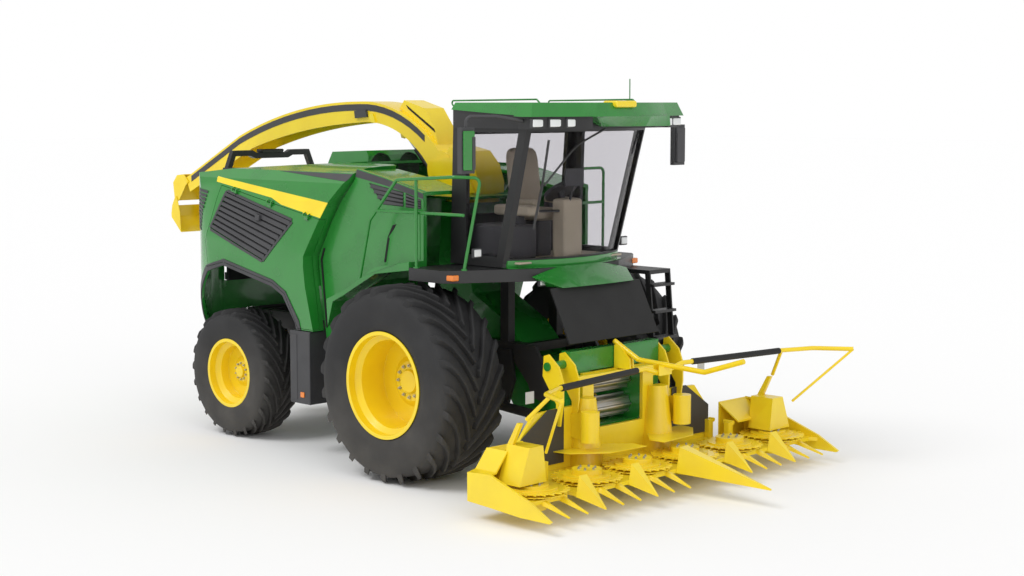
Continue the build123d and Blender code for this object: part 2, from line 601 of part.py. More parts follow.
def cab_form(inset):
    """The closed outer form of the glasshouse, drawn in by a distance."""
    # columns: height, rear x, half width, corner x, centre x
    sections = [
        (CAB_SILL_Z, CAB_REAR_X, CAB_HALF_WIDTH, CAB_CORNER_LOW_X, CAB_CENTRE_LOW_X),
        (CAB_TOP_Z, CAB_REAR_HIGH_X, CAB_HIGH_HALF_WIDTH, CAB_CORNER_HIGH_X, CAB_CENTRE_HIGH_X),
    ]
    with BuildPart(mode=Mode.PRIVATE) as form:
        for height, rear_x, half_width, corner_x, centre_x in sections:
            with BuildSketch(GROUND.offset(height)):
                with BuildLine():
                    half = half_width - inset
                    rear = rear_x + inset
                    corner = corner_x - inset
                    Line((rear, -half), (corner, -half))
                    ThreePointArc((corner, -half), (centre_x - inset, 0), (corner, half))
                    Line((corner, half), (rear, half))
                    Line((rear, half), (rear, -half))
                make_face()
        loft()
    return form.part


cab_outer = cab_form(0)
cab_inner = cab_form(CAB_FRAME)
glass_outer = cab_form(20)
glass_inner = cab_form(20 + GLASS)

# columns: x, z of the side window, and y, z of the windscreen and rear window
SIDE_WINDOW = [(CAB_DOOR_REAR_X + 70, 2350), (CAB_DOOR_FRONT_LOW_X - 30, 2350),
               (CAB_DOOR_FRONT_HIGH_X - 50, 3630), (CAB_DOOR_REAR_X + 100, 3630)]
WINDSCREEN = [(-850, 2330), (850, 2330), (880, 3640), (-880, 3640)]
REAR_WINDOW = [(-780, 2750), (780, 2750), (800, 3600), (-800, 3600)]
CAB_DOOR = [(CAB_DOOR_REAR_X, CAB_SILL_Z + 8), (CAB_DOOR_FRONT_LOW_X + 15, CAB_SILL_Z + 8),
            (CAB_DOOR_FRONT_HIGH_X, CAB_TOP_Z - 34), (CAB_DOOR_REAR_X + 20, CAB_TOP_Z - 34)]

ROOF_EDGE_Z = 3795.0
ROOF_TOP_Z = 3935.0
ROOF_TAPER = 22.0
VISOR_LOW_Z = 3690.0
HOUSING_INSET = 40.0
# columns: x, z of the lamp housing's top below the roof
HOUSING_TOP = [(0, 3868), (670, 3828), (1325, ROOF_EDGE_Z)]


def roof_form(inset, z_low, z_high, taper):
    """The roof's plan between two heights, drawn in by a distance and tapered upward."""
    with BuildPart(mode=Mode.PRIVATE) as form:
        with BuildSketch(GROUND.offset(z_low)):
            with BuildLine():
                Line((90, -1000), (1180, -1000))
                Line((1180, -1000), (1230, -1190))
                Line((1230, -1190), (1480, -1190))
                Line((1480, -1190), (1560, -820))
                ThreePointArc((1560, -820), (1700, 0), (1560, 820))
                Line((1560, 820), (1480, 1190))
                Line((1480, 1190), (1230, 1190))
                Line((1230, 1190), (1180, 1000))
                Line((1180, 1000), (90, 1000))
                Line((90, 1000), (90, -1000))
            make_face()
            if inset:
                offset(amount=-inset, kind=Kind.INTERSECTION)
        extrude(amount=z_high - z_low, taper=taper)
    return form.part


with BuildPart() as cab_shell:
    add(cab_outer)
    add(cab_inner, mode=Mode.SUBTRACT)
    side_plate(SIDE_WINDOW, -1000, 0, Mode.SUBTRACT)
    cross_plate(WINDSCREEN, 700, 1600, Mode.SUBTRACT)
    cross_plate(REAR_WINDOW, -50, 200, Mode.SUBTRACT)
    with BuildSketch(SIDE.offset(-1000), mode=Mode.PRIVATE) as door_hole:
        with BuildLine():
            Polyline(*CAB_DOOR, close=True)
        make_face()
        offset(amount=CAB_DOOR_GAP, kind=Kind.INTERSECTION)
    extrude(door_hole.sketch, amount=900, mode=Mode.SUBTRACT)
    # Ears and pins of the door's hinges
    for hinge_z in CAB_HINGE_HEIGHTS:
        for ear_z in (hinge_z - 46, hinge_z + 32):
            flat_plate([(110, 870), (160, 870), (198, 945), (185, 964), (172, 955)], ear_z, ear_z + 14)
            bar((CAB_DOOR_HINGE_X, CAB_DOOR_HINGE_Y, ear_z),
                (CAB_DOOR_HINGE_X, CAB_DOOR_HINGE_Y, ear_z + 14), 14)
        bar((CAB_DOOR_HINGE_X, CAB_DOOR_HINGE_Y, hinge_z - 46),
            (CAB_DOOR_HINGE_X, CAB_DOOR_HINGE_Y, hinge_z + 46), CAB_HINGE_PIN)
    # Lamp housing under the roof, cut to the roof's underside
    with BuildPart(mode=Mode.PRIVATE) as housing:
        add(roof_form(HOUSING_INSET, CAB_TOP_Z - 20, 3880, 0))
        side_plate([*((x, z - PIN_GAP) for x, z in HOUSING_TOP), (1900, ROOF_EDGE_Z - PIN_GAP),
                    (1900, 3900), (0, 3900)], -1300, 1300, Mode.SUBTRACT)
        flat_plate([(1440, -150), (1470, -440), (1800, -440), (1800, 900), (1440, 900)], 3600, 3900,
                   Mode.SUBTRACT)
        block(180, 1050, -860, 860, 3600, 3760, Mode.SUBTRACT)
    add(housing.part)
    # Floor
    flat_plate([(CAB_REAR_X, -CAB_HALF_WIDTH), (CAB_CORNER_LOW_X, -CAB_HALF_WIDTH),
                (980, -500), (CAB_CENTRE_LOW_X, 0), (980, 500),
                (CAB_CORNER_LOW_X, CAB_HALF_WIDTH), (CAB_REAR_X, CAB_HALF_WIDTH)],
               CAB_FLOOR_Z, CAB_SILL_Z)
finish(cab_shell, "cab_shell")

# columns: height, corner x, corner y, centre x
PANEL_SECTIONS = [(2045, 1330, 560, 1362), (CAB_FLOOR_Z - 0.3, 860, 894, 1090)]
with BuildPart() as front_panel:
    for height, corner_x, corner_y, centre_x in PANEL_SECTIONS:
        with BuildSketch(GROUND.offset(height)):
            with BuildLine():
                Line((760, -corner_y), (corner_x, -corner_y))
                ThreePointArc((corner_x, -corner_y), (centre_x, 0), (corner_x, corner_y))
                Line((corner_x, corner_y), (760, corner_y))
                Line((760, corner_y), (760, -corner_y))
            make_face()
    loft()
    block(600, 1065, -1000, 1000, 2000, 2231, Mode.SUBTRACT)
finish(front_panel, "front_panel")

with BuildPart() as cab_glass:
    add(glass_outer)
    add(glass_inner, mode=Mode.SUBTRACT)
    with BuildPart(mode=Mode.PRIVATE) as panes:
        side_plate(SIDE_WINDOW, -1000, -700)
        cross_plate(WINDSCREEN, 700, 1600)
        cross_plate(REAR_WINDOW, -50, 200)
    add(panes.part, mode=Mode.INTERSECT)
finish(cab_glass, "cab_glass")

with BuildPart() as cab_door:
    add(cab_outer)
    add(cab_inner, mode=Mode.SUBTRACT)
    side_plate(CAB_DOOR, 700, 1000, Mode.INTERSECT)
    side_plate(SIDE_WINDOW, 700, 1000, Mode.SUBTRACT)
    for hinge_z in CAB_HINGE_HEIGHTS:
        flat_plate([(176, 950), (186, 938), (226, 930), (236, 890), (258, 890), (252, 938), (194, 963)],
                   hinge_z - 30, hinge_z + 30)
        bar((CAB_DOOR_HINGE_X, CAB_DOOR_HINGE_Y, hinge_z - 30),
            (CAB_DOOR_HINGE_X, CAB_DOOR_HINGE_Y, hinge_z + 30), 14)
        bar((CAB_DOOR_HINGE_X, CAB_DOOR_HINGE_Y, hinge_z - 40),
            (CAB_DOOR_HINGE_X, CAB_DOOR_HINGE_Y, hinge_z + 40), CAB_HINGE_PIN + PIN_GAP,
            Mode.SUBTRACT)
finish(cab_door, "cab_door")

with BuildPart() as door_glass:
    add(glass_outer)
    add(glass_inner, mode=Mode.SUBTRACT)
    side_plate(SIDE_WINDOW, 700, 1000, Mode.INTERSECT)
finish(door_glass, "cab_door_glass")

ANTENNA_TOP_Z = 4180.0
with BuildPart() as cab_roof:
    add(roof_form(0, ROOF_EDGE_Z, ROOF_TOP_Z, ROOF_TAPER))
    # The roof's underside rises to the rear over the lamp housing
    side_plate([(0, ROOF_EDGE_Z - 1), *HOUSING_TOP, (1325, ROOF_EDGE_Z - 1)], -1300, 1300,
               Mode.SUBTRACT)
    # Visor over the windscreen
    with BuildSketch(GROUND.offset(VISOR_LOW_Z)):
        with BuildLine():
            Polyline((1470, -160), (1500, -160), (1640, 370), (1600, 820), (1520, 820), (1560, 370),
                     close=True)
        make_face()
    with BuildSketch(GROUND.offset(ROOF_EDGE_Z + 1)):
        with BuildLine():
            Polyline((1480, -420), (1650, -420), (1705, 370), (1590, 820), (1500, 820), (1560, 370),
                     close=True)
        make_face()
    loft()
    # Roof rail and the antenna on its foot
    for side in SIDES.values():
        bent_tube([(-40, side * 750, 3860), (-140, side * 750, 3954), (1135, side * 750, 3967),
                   (1215, side * 750, 3900)], 9, 25)
    bar((1450, 330, ROOF_TOP_Z - 20), (1450, 330, ROOF_TOP_Z + 25), 45)
    bar((1450, 330, ROOF_TOP_Z), (1450, 330, ANTENNA_TOP_Z), 6)
finish(cab_roof, "cab_roof")

SEAT_X = 440.0
with BuildPart() as seat:
    bar((SEAT_X, 0, CAB_SILL_Z), (SEAT_X, 0, CAB_SILL_Z + 380), 90)
    block(SEAT_X - 240, SEAT_X + 260, -250, 250, CAB_SILL_Z + 380, CAB_SILL_Z + 520)
    side_plate([(SEAT_X - 240, CAB_SILL_Z + 520), (SEAT_X - 120, CAB_SILL_Z + 520),
                (SEAT_X - 200, CAB_SILL_Z + 1180), (SEAT_X - 300, CAB_SILL_Z + 1180)], -230, 230)
    for arm_low, arm_high in ((-400, -255), (255, 330)):
        block(SEAT_X - 160, SEAT_X + 260, arm_low, arm_high, CAB_SILL_Z + 560, CAB_SILL_Z + 640)
        block(SEAT_X - 160, SEAT_X - 60, min(arm_low, 250), max(arm_high, -250),
              CAB_SILL_Z + 500, CAB_SILL_Z + 560)
finish(seat, "driver_seat")

with BuildPart() as column:
    block(850, 960, -70, 70, CAB_SILL_Z, CAB_SILL_Z + 60)
    bar((905, 0, CAB_SILL_Z + 50), (780, 0, CAB_SILL_Z + 720), 36)
    bar((790, 0, CAB_SILL_Z + 710), (770, 0, CAB_SILL_Z + 740), 190)
finish(column, "steering_column")

# Platform with its skirt and cab posts
PLATFORM_TOP = 2230.0
PLATFORM_BOTTOM = 2100.0
PLATFORM_REAR_X = CAB_REAR_X
with BuildPart() as platform:
    flat_plate([(PLATFORM_REAR_X, -1500), (500, -1500), (590, -1420), (1060, -620), (1060, 620),
                (590, 1420), (500, 1500), (PLATFORM_REAR_X, 1500)], PLATFORM_BOTTOM, PLATFORM_TOP)
    for side in SIDES.values():
        skirt = Plane(origin=FRONT_AXLE + Vector(590, side * 1420, 0), x_dir=(470, -side * 800, 0),
                      z_dir=(side * 800, 470, 0))
        with BuildSketch(skirt.offset(-150), mode=Mode.PRIVATE) as fall:
            with BuildLine():
                Polyline((120, PLATFORM_TOP + 1), (930, PLATFORM_BOTTOM + 12), (1200, PLATFORM_BOTTOM + 12),
                         (1200, PLATFORM_TOP + 60), (120, PLATFORM_TOP + 60), close=True)
            make_face()
        extrude(fall.sketch, amount=400, mode=Mode.SUBTRACT)
        low, high = sorted((side * RAIL_INNER, side * RAIL_OUTER))
        block(300, 420, low, high, RAIL_TOP, PLATFORM_BOTTOM)
    block(PLATFORM_REAR_X, 200, -850, 850, PLATFORM_TOP, CAB_FLOOR_Z)
    block(650, 760, -850, 850, PLATFORM_TOP, CAB_FLOOR_Z)
    # Ladder at the left front
    block(560, 1130, 1060, 1420, PLATFORM_BOTTOM - 45, PLATFORM_BOTTOM)
    for stringer_y in (1060, 1400):
        side_plate([(1060, PLATFORM_BOTTOM), (1130, PLATFORM_BOTTOM), (1260, 650), (1190, 650)],
                   stringer_y, stringer_y + 20)
    for step in range(5):
        step_z = 760 + 290 * step
        step_x = 1180 - (step_z - 650) * 130 / 1450
        block(step_x, step_x + 130, 1060, 1420, step_z, step_z + 30)
finish(platform, "platform")

# Railings on the platform, right and left
RAIL_TUBE = 17.0
with BuildPart() as railings:
    foot_z = PLATFORM_TOP + 8
    bent_tube([(-798, -1470, 2020), (-620, -1470, 2690), (-190, -1470, 3135), (650, -1455, 3188),
               (850, -1270, 3178), (640, -1300, foot_z)], RAIL_TUBE, 60)
    bar((100, -1464, foot_z), (100, -1464, 3150), RAIL_TUBE)
    bar((-520, -1470, 2800), (720, -1385, 2800), RAIL_TUBE)
    bent_tube([(110, 1040, foot_z), (110, 1040, 3190), (110, 1450, 3190), (110, 1450, foot_z)],
              RAIL_TUBE, 60)
    bar((110, 1040, 2800), (110, 1450, 2800), RAIL_TUBE)
    for foot_x, foot_y in ((100, -1464), (640, -1300), (110, 1040), (110, 1450)):
        bar((foot_x, foot_y, PLATFORM_TOP), (foot_x, foot_y, PLATFORM_TOP + 14), 32)
    add(flanks.part, mode=Mode.SUBTRACT)
finish(railings, "railings")

# Mirrors on their arms
with BuildPart() as mirrors:
    for side in SIDES.values():
        block(1000, 1060, min(side * 1560, side * 1740), max(side * 1560, side * 1740), 3240, 3690)
        bent_tube([(1320, side * 1150, 3755), (1200, side * 1400, 3800), (1030, side * 1650, 3800),
                   (1030, side * 1650, 3680)], 16, 60)
    add(cab_roof.part, mode=Mode.SUBTRACT)
    add(cab_shell.part, mode=Mode.SUBTRACT)
finish(mirrors, "mirrors")

# Rubber apron between the cab and the intake
with BuildPart() as apron:
    side_plate([(1268, 2044.7), (1290, 2044.7), (1560, 1500), (1540, 1490)], -700, 700)
finish(apron, "apron")

# Boom: upper and lower edges of its two sections, which meet over the rest
BOOM_TOP = [(-900, 3398), (-1420, 3775), (-2250, 3945), (-3430, 3832), (-4548, 3515), (-5720, 2950)]
BOOM_LOW = [(-5640, 2770), (-4300, 3362), (-3350, 3578), (-2250, 3700), (-1500, 3565), (-1010, 3150)]
BOOM_JOINT_X = BOOM_LOW[1][0]


def boom_plate(drop, y_low, y_high, mode=Mode.ADD):
    """The boom's side outline, with its upper edge lowered and its lower edge opened."""
    top = [(x, z - drop) for x, z in BOOM_TOP]
    low = [(x, z - 3 * abs(drop)) for x, z in BOOM_LOW]
    with BuildSketch(SIDE.offset(-y_high), mode=Mode.PRIVATE) as shape:
        with BuildLine():
            ThreePointArc(top[0], top[1], top[2])
            ThreePointArc(top[2], top[3], top[4])
            Line(top[4], top[5])
            Line(top[5], low[0])
            Line(low[0], low[1])
            ThreePointArc(low[1], low[2], low[3])
            ThreePointArc(low[3], low[4], low[5])
            Line(low[5], top[0])
        make_face()
    extrude(shape.sketch, amount=y_high - y_low, mode=mode)


# Spout rest: square tube over the tail with a dip and a pad
REST_X = -4190.0
REST_TUBE = 70.0
with BuildPart() as spout_rest:
    rest_outline = [(-700, 3100), (-630, 3100), (-560, 3272), (-330, 3272), (-260, 3240), (260, 3240),
                    (330, 3272), (560, 3272), (630, 3100), (700, 3100), (600, 3342), (300, 3342),
                    (240, 3310), (-240, 3310), (-300, 3342), (-600, 3342)]
    cross_plate(rest_outline, REST_X - REST_TUBE / 2, REST_X + REST_TUBE / 2)
    for side in SIDES.values():
        low, high = sorted((side * 620, side * 710))
        block(REST_X - REST_TUBE / 2, -3990, low, high, 3060, 3135)
    block(REST_X - 60, REST_X + 60, -160, 160, 3310, 3350)
    add(outer_form, mode=Mode.SUBTRACT)
    boom_plate(-PIN_GAP, -SPOUT_HALF_WIDTH, SPOUT_HALF_WIDTH, Mode.SUBTRACT)
finish(spout_rest, "spout_rest")

# Spout turntable: ring on the crop channel and the elbow that carries the boom
DRUM_RADIUS = 205.0
RING_TOP = DECK_TOP + 16
SPOUT_CYL_X = -1110.0
SPOUT_CYL_Z = 3055.0
SPOUT_EYE_X = -1640.0
SPOUT_EYE_Z = 3560.0
EAR_THICKNESS_SPOUT = 20.0
with BuildPart() as turntable:
    bar((SPOUT_X, 0, SPOUT_BASE_Z - 60 + PIN_GAP), (SPOUT_X, 0, RING_TOP), TURN_RADIUS)
    side_plate([(-860, RING_TOP - 6), (-270, RING_TOP - 6), (-262, 3060), (-330, 3250), (-480, 3400),
                (-690, 3440), (-726, 3441), (-768, 3374), (-800, 3300)],
               -SPOUT_HALF_WIDTH, SPOUT_HALF_WIDTH)
    bar((SPOUT_X, 0, SPOUT_BASE_Z - 100), (SPOUT_X, 0, 3150), 170, Mode.SUBTRACT)
    cross_bar(SPOUT_PIVOT_X, SPOUT_PIVOT_Z, DRUM_RADIUS + MOVING_GAP, -SPOUT_HALF_WIDTH - 1,
              SPOUT_HALF_WIDTH + 1, Mode.SUBTRACT)
    for side in SIDES.values():
        ear_near = side * (SPOUT_HALF_WIDTH + MOVING_GAP)
        ear_far = side * (SPOUT_HALF_WIDTH + MOVING_GAP + EAR_THICKNESS_SPOUT)
        side_plate([(-640, RING_TOP), (-300, RING_TOP), (-500, 3330), (-800, 3320), (-960, 3270),
                    (-980, 3140)], min(ear_near, ear_far), max(ear_near, ear_far))
        low, high = sorted((side * SPOUT_HALF_WIDTH, ear_near))
        block(-600, -380, low, high, RING_TOP, 3150)
        low, high = sorted((side * (SPOUT_HALF_WIDTH - 40), ear_far))
        cross_bar(SPOUT_PIVOT_X, SPOUT_PIVOT_Z, 40, low, high)
        # Lugs of the lift cylinder
        low, high = sorted((side * 45, side * 65))
        side_plate([(-840, RING_TOP - 6), (-1080, RING_TOP - 6), (-1146, 3040), (-1134, 3086),
                    (-1086, 3088), (-1050, 3030), (-960, 2978), (-840, 2975)], low, high)
    cross_bar(SPOUT_CYL_X, SPOUT_CYL_Z, 18, -65, 65)
finish(turntable, "spout_turntable")

# Boom: a channel open below, with its drum at the pivot and the sensor box on top
FLAP_PIVOT_X = -5690.0
FLAP_PIVOT_Z = 2890.0
with BuildPart() as boom:
    boom_plate(0, -SPOUT_HALF_WIDTH, SPOUT_HALF_WIDTH)
    boom_plate(SPOUT_WALL, -SPOUT_HALF_WIDTH + SPOUT_WALL, SPOUT_HALF_WIDTH - SPOUT_WALL,
               Mode.SUBTRACT)
    cross_bar(SPOUT_PIVOT_X, SPOUT_PIVOT_Z, DRUM_RADIUS, -SPOUT_HALF_WIDTH, SPOUT_HALF_WIDTH)
    cross_bar(SPOUT_PIVOT_X, SPOUT_PIVOT_Z, 40 + PIN_GAP, -SPOUT_HALF_WIDTH, SPOUT_HALF_WIDTH,
              Mode.SUBTRACT)
    side_plate([(-960, 3430), (-1000, 3640), (-1180, 3870), (-1520, 3960), (-1600, 3860),
                (-1300, 3700)], -150, 150)
    # Lugs of the lift cylinder's eye, on a cross plate between the side walls
    for side in SIDES.values():
        low, high = sorted((side * 45, side * 60))
        side_plate([(-1580, 3560), (-1620, 3520), (-1670, 3530), (-1690, 3590), (-1680, 3720),
                    (-1540, 3690)], low, high)
    side_plate([(-1530, 3650), (-1690, 3690), (-1690, 3710), (-1530, 3670)], -SPOUT_HALF_WIDTH + 1,
               SPOUT_HALF_WIDTH - 1)
    for side in SIDES.values():
        low, high = sorted((side * (SPOUT_HALF_WIDTH - SPOUT_WALL), side * (SPOUT_HALF_WIDTH + 20)))
        cross_bar(FLAP_PIVOT_X, FLAP_PIVOT_Z, 12, low, high)
    # Joint between the arched section and the straight tail section
    block(BOOM_JOINT_X - PIN_GAP, BOOM_JOINT_X, -SPOUT_HALF_WIDTH - 1, SPOUT_HALF_WIDTH + 1,
          BOOM_TOP[5][1], BOOM_TOP[2][1], Mode.SUBTRACT)
finish(boom, "spout_boom")

# Spout lift cylinder: barrel and rod on one line
spout_cyl_low = Vector(SPOUT_CYL_X, 0, SPOUT_CYL_Z)
spout_cyl_eye = Vector(SPOUT_EYE_X, 0, SPOUT_EYE_Z)
cylinder_line = (spout_cyl_eye - spout_cyl_low).normalized()
with BuildPart() as spout_barrel:
    cross_bar(SPOUT_CYL_X, SPOUT_CYL_Z, 34, -38, 38)
    bar(spout_cyl_low + cylinder_line * 20, spout_cyl_low + cylinder_line * 500, 36)
    cross_bar(SPOUT_CYL_X, SPOUT_CYL_Z, 18 + PIN_GAP, -39, 39, Mode.SUBTRACT)
    bar(spout_cyl_low + cylinder_line * 60, spout_cyl_low + cylinder_line * 560, 20 + PIN_GAP,
        Mode.SUBTRACT)
finish(spout_barrel, "spout_cylinder_barrel")
with BuildPart() as spout_rod:
    bar(spout_cyl_low + cylinder_line * 240, spout_cyl_eye, 20)
    cross_bar(SPOUT_EYE_X, SPOUT_EYE_Z, 28, -34, 34)
finish(spout_rod, "spout_cylinder_rod")

# Deflector flap and tip flap at the end of the boom
TIP_PIVOT_X = -5925.0
TIP_PIVOT_Z = 2650.0
FLAP_WALL = 8.0
flap_inner = SPOUT_HALF_WIDTH + MOVING_GAP
flap_outer = flap_inner + FLAP_WALL
tip_inner = flap_outer + MOVING_GAP
tip_outer = tip_inner + FLAP_WALL
with BuildPart() as flap:
    for side in SIDES.values():
        low, high = sorted((side * flap_inner, side * flap_outer))
        side_plate([(-5655, 2900), (-5690, 2930), (-5760, 2995), (-5905, 2980), (-5997, 2880),
                    (-5965, 2640), (-5880, 2640), (-5720, 2850)], low, high)
        low, high = sorted((side * (flap_inner - 4), side * (flap_outer + 20)))
        cross_bar(TIP_PIVOT_X, TIP_PIVOT_Z + 20, 10, low, high)
    side_plate([(-5760, 2995), (-5905, 2980), (-5997, 2880), (-5965, 2640), (-5955, 2640),
                (-5986, 2876), (-5900, 2970), (-5762, 2985)], -flap_outer, flap_outer)
    cross_bar(FLAP_PIVOT_X, FLAP_PIVOT_Z, 12 + PIN_GAP, -300, 300, Mode.SUBTRACT)
finish(flap, "spout_flap")
with BuildPart() as tip_flap:
    for side in SIDES.values():
        low, high = sorted((side * tip_inner, side * tip_outer))
        side_plate([(-5895, 2670), (-5925, 2700), (-5955, 2670), (-6010, 2575), (-REAR_REACH, 2470),
                    (-6025, 2420), (-5820, 2230), (-5840, 2500)], low, high)
    side_plate([(-6010, 2575), (-REAR_REACH, 2470), (-6025, 2420), (-5820, 2230), (-5812, 2238),
                (-6015, 2426), (-6020, 2470), (-6001, 2575)], -tip_outer, tip_outer)
    cross_bar(TIP_PIVOT_X, TIP_PIVOT_Z + 20, 10 + PIN_GAP, -300, 300, Mode.SUBTRACT)
finish(tip_flap, "spout_tip_flap")

HOOK_X = 1490.0
HOOK_Z = 1290.0
HOOK_RADIUS = 45.0

# Intake: side walls, floor, cover and the coupling frame in front
with BuildPart() as intake:
    for side in SIDES.values():
        low, high = sorted((side * INTAKE_SIDE_INNER, side * INTAKE_SIDE_OUTER))
        side_plate([(850, 1050), (850, 850), (1060, 700), (1300, 560), (1500, 560), (1560, 640),
                    (1560, 1250), (1300, 1250), (1060, 1080)], low, high)
        low, high = sorted((side * INTAKE_SIDE_OUTER, side * (LIFT_Y + 60)))
        cross_bar(LIFT_EYE_X, LIFT_EYE_Z, 25, low, high)
    block(1100, 1500, -INTAKE_SIDE_INNER, INTAKE_SIDE_INNER, 560, 600)
    block(1260, 1560, -INTAKE_SIDE_INNER, INTAKE_SIDE_INNER, 1210, 1250)
    block(1440, 1560, -700, 700, 1200, 1420)
    cross_bar(HOOK_X, HOOK_Z, HOOK_RADIUS - PIN_GAP, -975, 975)
    for side in SIDES.values():
        low, high = sorted((side * INTAKE_SIDE_OUTER, side * 700))
        block(1500, 1560, low, high, 720, 1200)
    cross_bar(INTAKE_PIVOT_X, INTAKE_PIVOT_Z, INTAKE_PIN_RADIUS + PIN_GAP, -500, 500, Mode.SUBTRACT)
    for roll_x, roll_z in ((1310, 1035), (1330, 745)):
        cross_bar(roll_x, roll_z, 30 + PIN_GAP, -500, 500, Mode.SUBTRACT)
finish(intake, "intake")

# Feed rolls with raised ribs, on shafts in the side walls
# columns: name, x, z, radius, ribs
FEED_ROLLS = [("feed_roll_upper", 1310.0, 1035.0, 140.0, 10),
              ("feed_roll_lower", 1330.0, 745.0, 120.0, 8)]
for roll_name, roll_x, roll_z, roll_radius, ribs in FEED_ROLLS:
    with BuildPart() as roll:
        cross_bar(roll_x, roll_z, 30, -INTAKE_SIDE_OUTER, INTAKE_SIDE_OUTER)
        reach = INTAKE_SIDE_INNER - MOVING_GAP
        cross_bar(roll_x, roll_z, roll_radius - 20, -reach, reach)
        roll_axis = FRONT_AXLE + Vector(roll_x, -reach, roll_z)
        with BuildSketch(Plane(origin=roll_axis, z_dir=(0, 1, 0))):
            with PolarLocations(roll_radius - 18, ribs):
                Rectangle(36, 22)
        extrude(amount=2 * reach)
    finish(roll, roll_name)

# Lift cylinders: both barrels in one piece list, both rods in the other
lift_low = Vector(LIFT_BARREL_X, 0, LIFT_BARREL_Z)
lift_eye = Vector(LIFT_EYE_X, 0, LIFT_EYE_Z)
lift_line = (lift_eye - lift_low).normalized()
with BuildPart() as lift_barrels:
    for side in SIDES.values():
        shift = Vector(0, side * LIFT_Y, 0)
        cross_bar(LIFT_BARREL_X, LIFT_BARREL_Z, 55, side * LIFT_Y - 35, side * LIFT_Y + 35)
        bar(lift_low + shift, lift_low + shift + lift_line * 680, 50)
        cross_bar(LIFT_BARREL_X, LIFT_BARREL_Z, LIFT_PIN_RADIUS + PIN_GAP, side * LIFT_Y - 60,
                  side * LIFT_Y + 60, Mode.SUBTRACT)
        bar(lift_low + shift + lift_line * 80, lift_low + shift + lift_line * 700, 32 + PIN_GAP,
            Mode.SUBTRACT)
finish(lift_barrels, "lift_cylinder_barrels")
with BuildPart() as lift_rods:
    for side in SIDES.values():
        shift = Vector(0, side * LIFT_Y, 0)
        bar(lift_low + shift + lift_line * 250, lift_eye + shift - lift_line * 45, 32)
        cross_bar(LIFT_EYE_X, LIFT_EYE_Z, 58, side * LIFT_Y - 30, side * LIFT_Y + 30)
        cross_bar(LIFT_EYE_X, LIFT_EYE_Z, 42, side * LIFT_Y - 31, side * LIFT_Y + 31, Mode.SUBTRACT)
finish(lift_rods, "lift_cylinder_rods")

# Header: centre section with four rotors
HEADER_REAR_X = 1566.0
FLOOR_LOW = 222.0
FLOOR_HIGH = 262.0
GEARBOX_RADIUS = 130.0
SHAFT_RADIUS = 55.0
POINT_TIP_X = 2776.0
POINT_TIP_Z = 140.0
CENTRE_TIP_Z = 200.0
WING_GAP = 6.0
HOOD_LOW = 362.0
HOOD_TOP = 715.0
HOOK_PLATES = (706.0, 940.0)
HOOK_PLATE = 20.0
CONE_X = 1660.0
CONE_Y = 570.0
CONE_LOW_RADIUS = 185.0
CONE_HIGH_RADIUS = 105.0
CONE_TOP = 950.0
DRUM_X = 1865.0
DRUM_Y = 733.0
DRUM_OUTER = 95.0
MOUTH_HALF = 390.0
WALL_FRONT_X = HEADER_REAR_X + 40.0
WALL_TOP = 1190.0
FLOOR_FRONT_X = 2480.0
FLOOR_REAR_Y = 1515.0
FLOOR_FRONT_Y = 1605.0
GEARBOX_LOW = 110.0
HINGE_TUBE_RADIUS = 24.0
HINGE_PIN_RADIUS = 12.0


def point(y, half_width, root_x, tip_x, tip_z, root_low, root_high):
    """A tapered crop point from its root to its tip."""
    with BuildSketch(FACE.offset(root_x), mode=Mode.PRIVATE) as root:
        with BuildLine():
            Polyline((y - half_width, root_low), (y + half_width, root_low),
                     (y + 0.55 * half_width, root_high), (y - 0.55 * half_width, root_high), close=True)
        make_face()
    with BuildSketch(FACE.offset(tip_x), mode=Mode.PRIVATE) as tip:
        with BuildLine():
            Polyline((y - 9, tip_z - 8), (y + 9, tip_z - 8), (y + 5, tip_z + 8), (y - 5, tip_z + 8),
                     close=True)
        make_face()
    loft(sections=[root.sketch.faces()[0], tip.sketch.faces()[0]])


